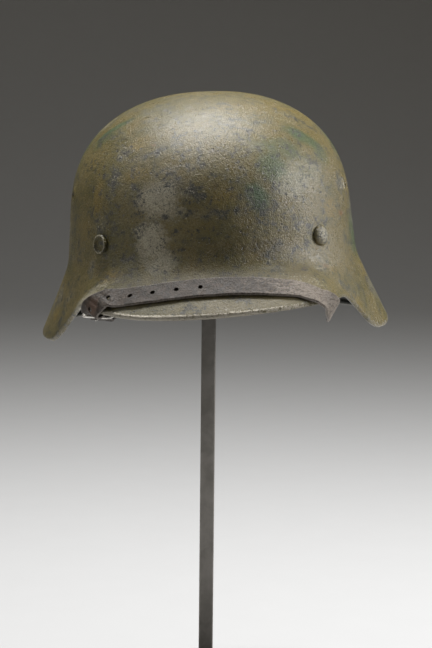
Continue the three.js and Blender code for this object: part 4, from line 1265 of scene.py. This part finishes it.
studio = {
    "floorTone": (0.55, 0.55, 0.55), "floorHalf": 6.0, "floorBack": 2.4, "floorBend": 2.4, "wallTop": 6.0,
    "world": 0.078,
    # direction from the helmet, distance, width, height, power
    "lights": {
        "overhead": ((-0.06, 0.20, 0.97), 1.15, 0.36, 0.25, 24),
        "leftBehind": ((-0.78, -0.10, 0.60), 1.5, 0.14, 0.20, 3.4),
        "rightSide": ((0.93, 0.02, 0.32), 1.4, 0.45, 0.85, 21),
        "leftFront": ((-0.66, -0.62, 0.42), 1.8, 0.5, 0.6, 1.6),
        "front": ((0.30, -0.9, 0.5), 2.2, 1.2, 1.2, 0.6),
    },
}


def makeFloor():
    rows = [(-studio["floorHalf"], 0.0)]
    r = studio["floorBend"]
    for a in np.radians(np.linspace(0, 90, 24)):
        rows.append((studio["floorBack"] + r * math.sin(a), r - r * math.cos(a)))
    rows.append((studio["floorBack"] + r, studio["wallTop"]))
    half = studio["floorHalf"]
    verts = [(x, y, z) for y, z in rows for x in (-half, half)]
    faces = [(2 * i, 2 * i + 1, 2 * i + 3, 2 * i + 2) for i in range(len(rows) - 1)]
    mesh = bpy.data.meshes.new("floor")
    mesh.from_pydata(verts, [], faces)
    mesh.shade_smooth()
    material, tree, shader = newMaterial("floor paper")
    place = pieceMillimetres(tree)
    tone = studio["floorTone"]
    shade = tuple(0.97 * v for v in tone)
    link(tree, mixed(tree, noise(tree, place, 40, 3), tone, shade), shader.inputs["Base Color"])
    shader.inputs["Roughness"].default_value = 0.9
    mesh.materials.append(material)
    floor = bpy.data.objects.new("floor", mesh)
    bpy.context.scene.collection.objects.link(floor)


def makeLights():
    target = Vector((0, 0, 0.375))
    for name, (direction, distance, wide, tall, power) in studio["lights"].items():
        data = bpy.data.lights.new(name, "AREA")
        data.shape = "RECTANGLE"
        data.size, data.size_y = wide, tall
        data.energy = power
        lamp = bpy.data.objects.new(name, data)
        bpy.context.scene.collection.objects.link(lamp)
        away = Vector(direction).normalized()
        lamp.location = target + away * distance
        lamp.rotation_euler = away.to_track_quat("Z", "Y").to_euler()
    bpy.context.scene.view_settings.view_transform = "Standard"
    world = bpy.data.worlds.new("studio")
    bpy.context.scene.world = world
    world.use_nodes = True
    world.node_tree.nodes["Background"].inputs["Color"].default_value = (1.0, 0.93, 0.78, 1)
    world.node_tree.nodes["Background"].inputs["Strength"].default_value = studio["world"]


def makeCamera():
    data = bpy.data.cameras.new("photoCamera")
    data.lens = shot["lens"]
    data.sensor_width = shot["sensor"]
    data.sensor_fit = "AUTO"
    data.clip_start = 0.05
    data.clip_end = 50
    camera = bpy.data.objects.new("photoCamera", data)
    bpy.context.scene.collection.objects.link(camera)
    right, upright, forward = cameraAxes()
    turn = Matrix((right, upright, -forward)).transposed().to_4x4()
    camera.matrix_world = Matrix.Translation(Vector(shot["position"]) * mm) @ turn
    bpy.context.scene.camera = camera


makeFloor()
makeLights()
makeCamera()
print("studio made")
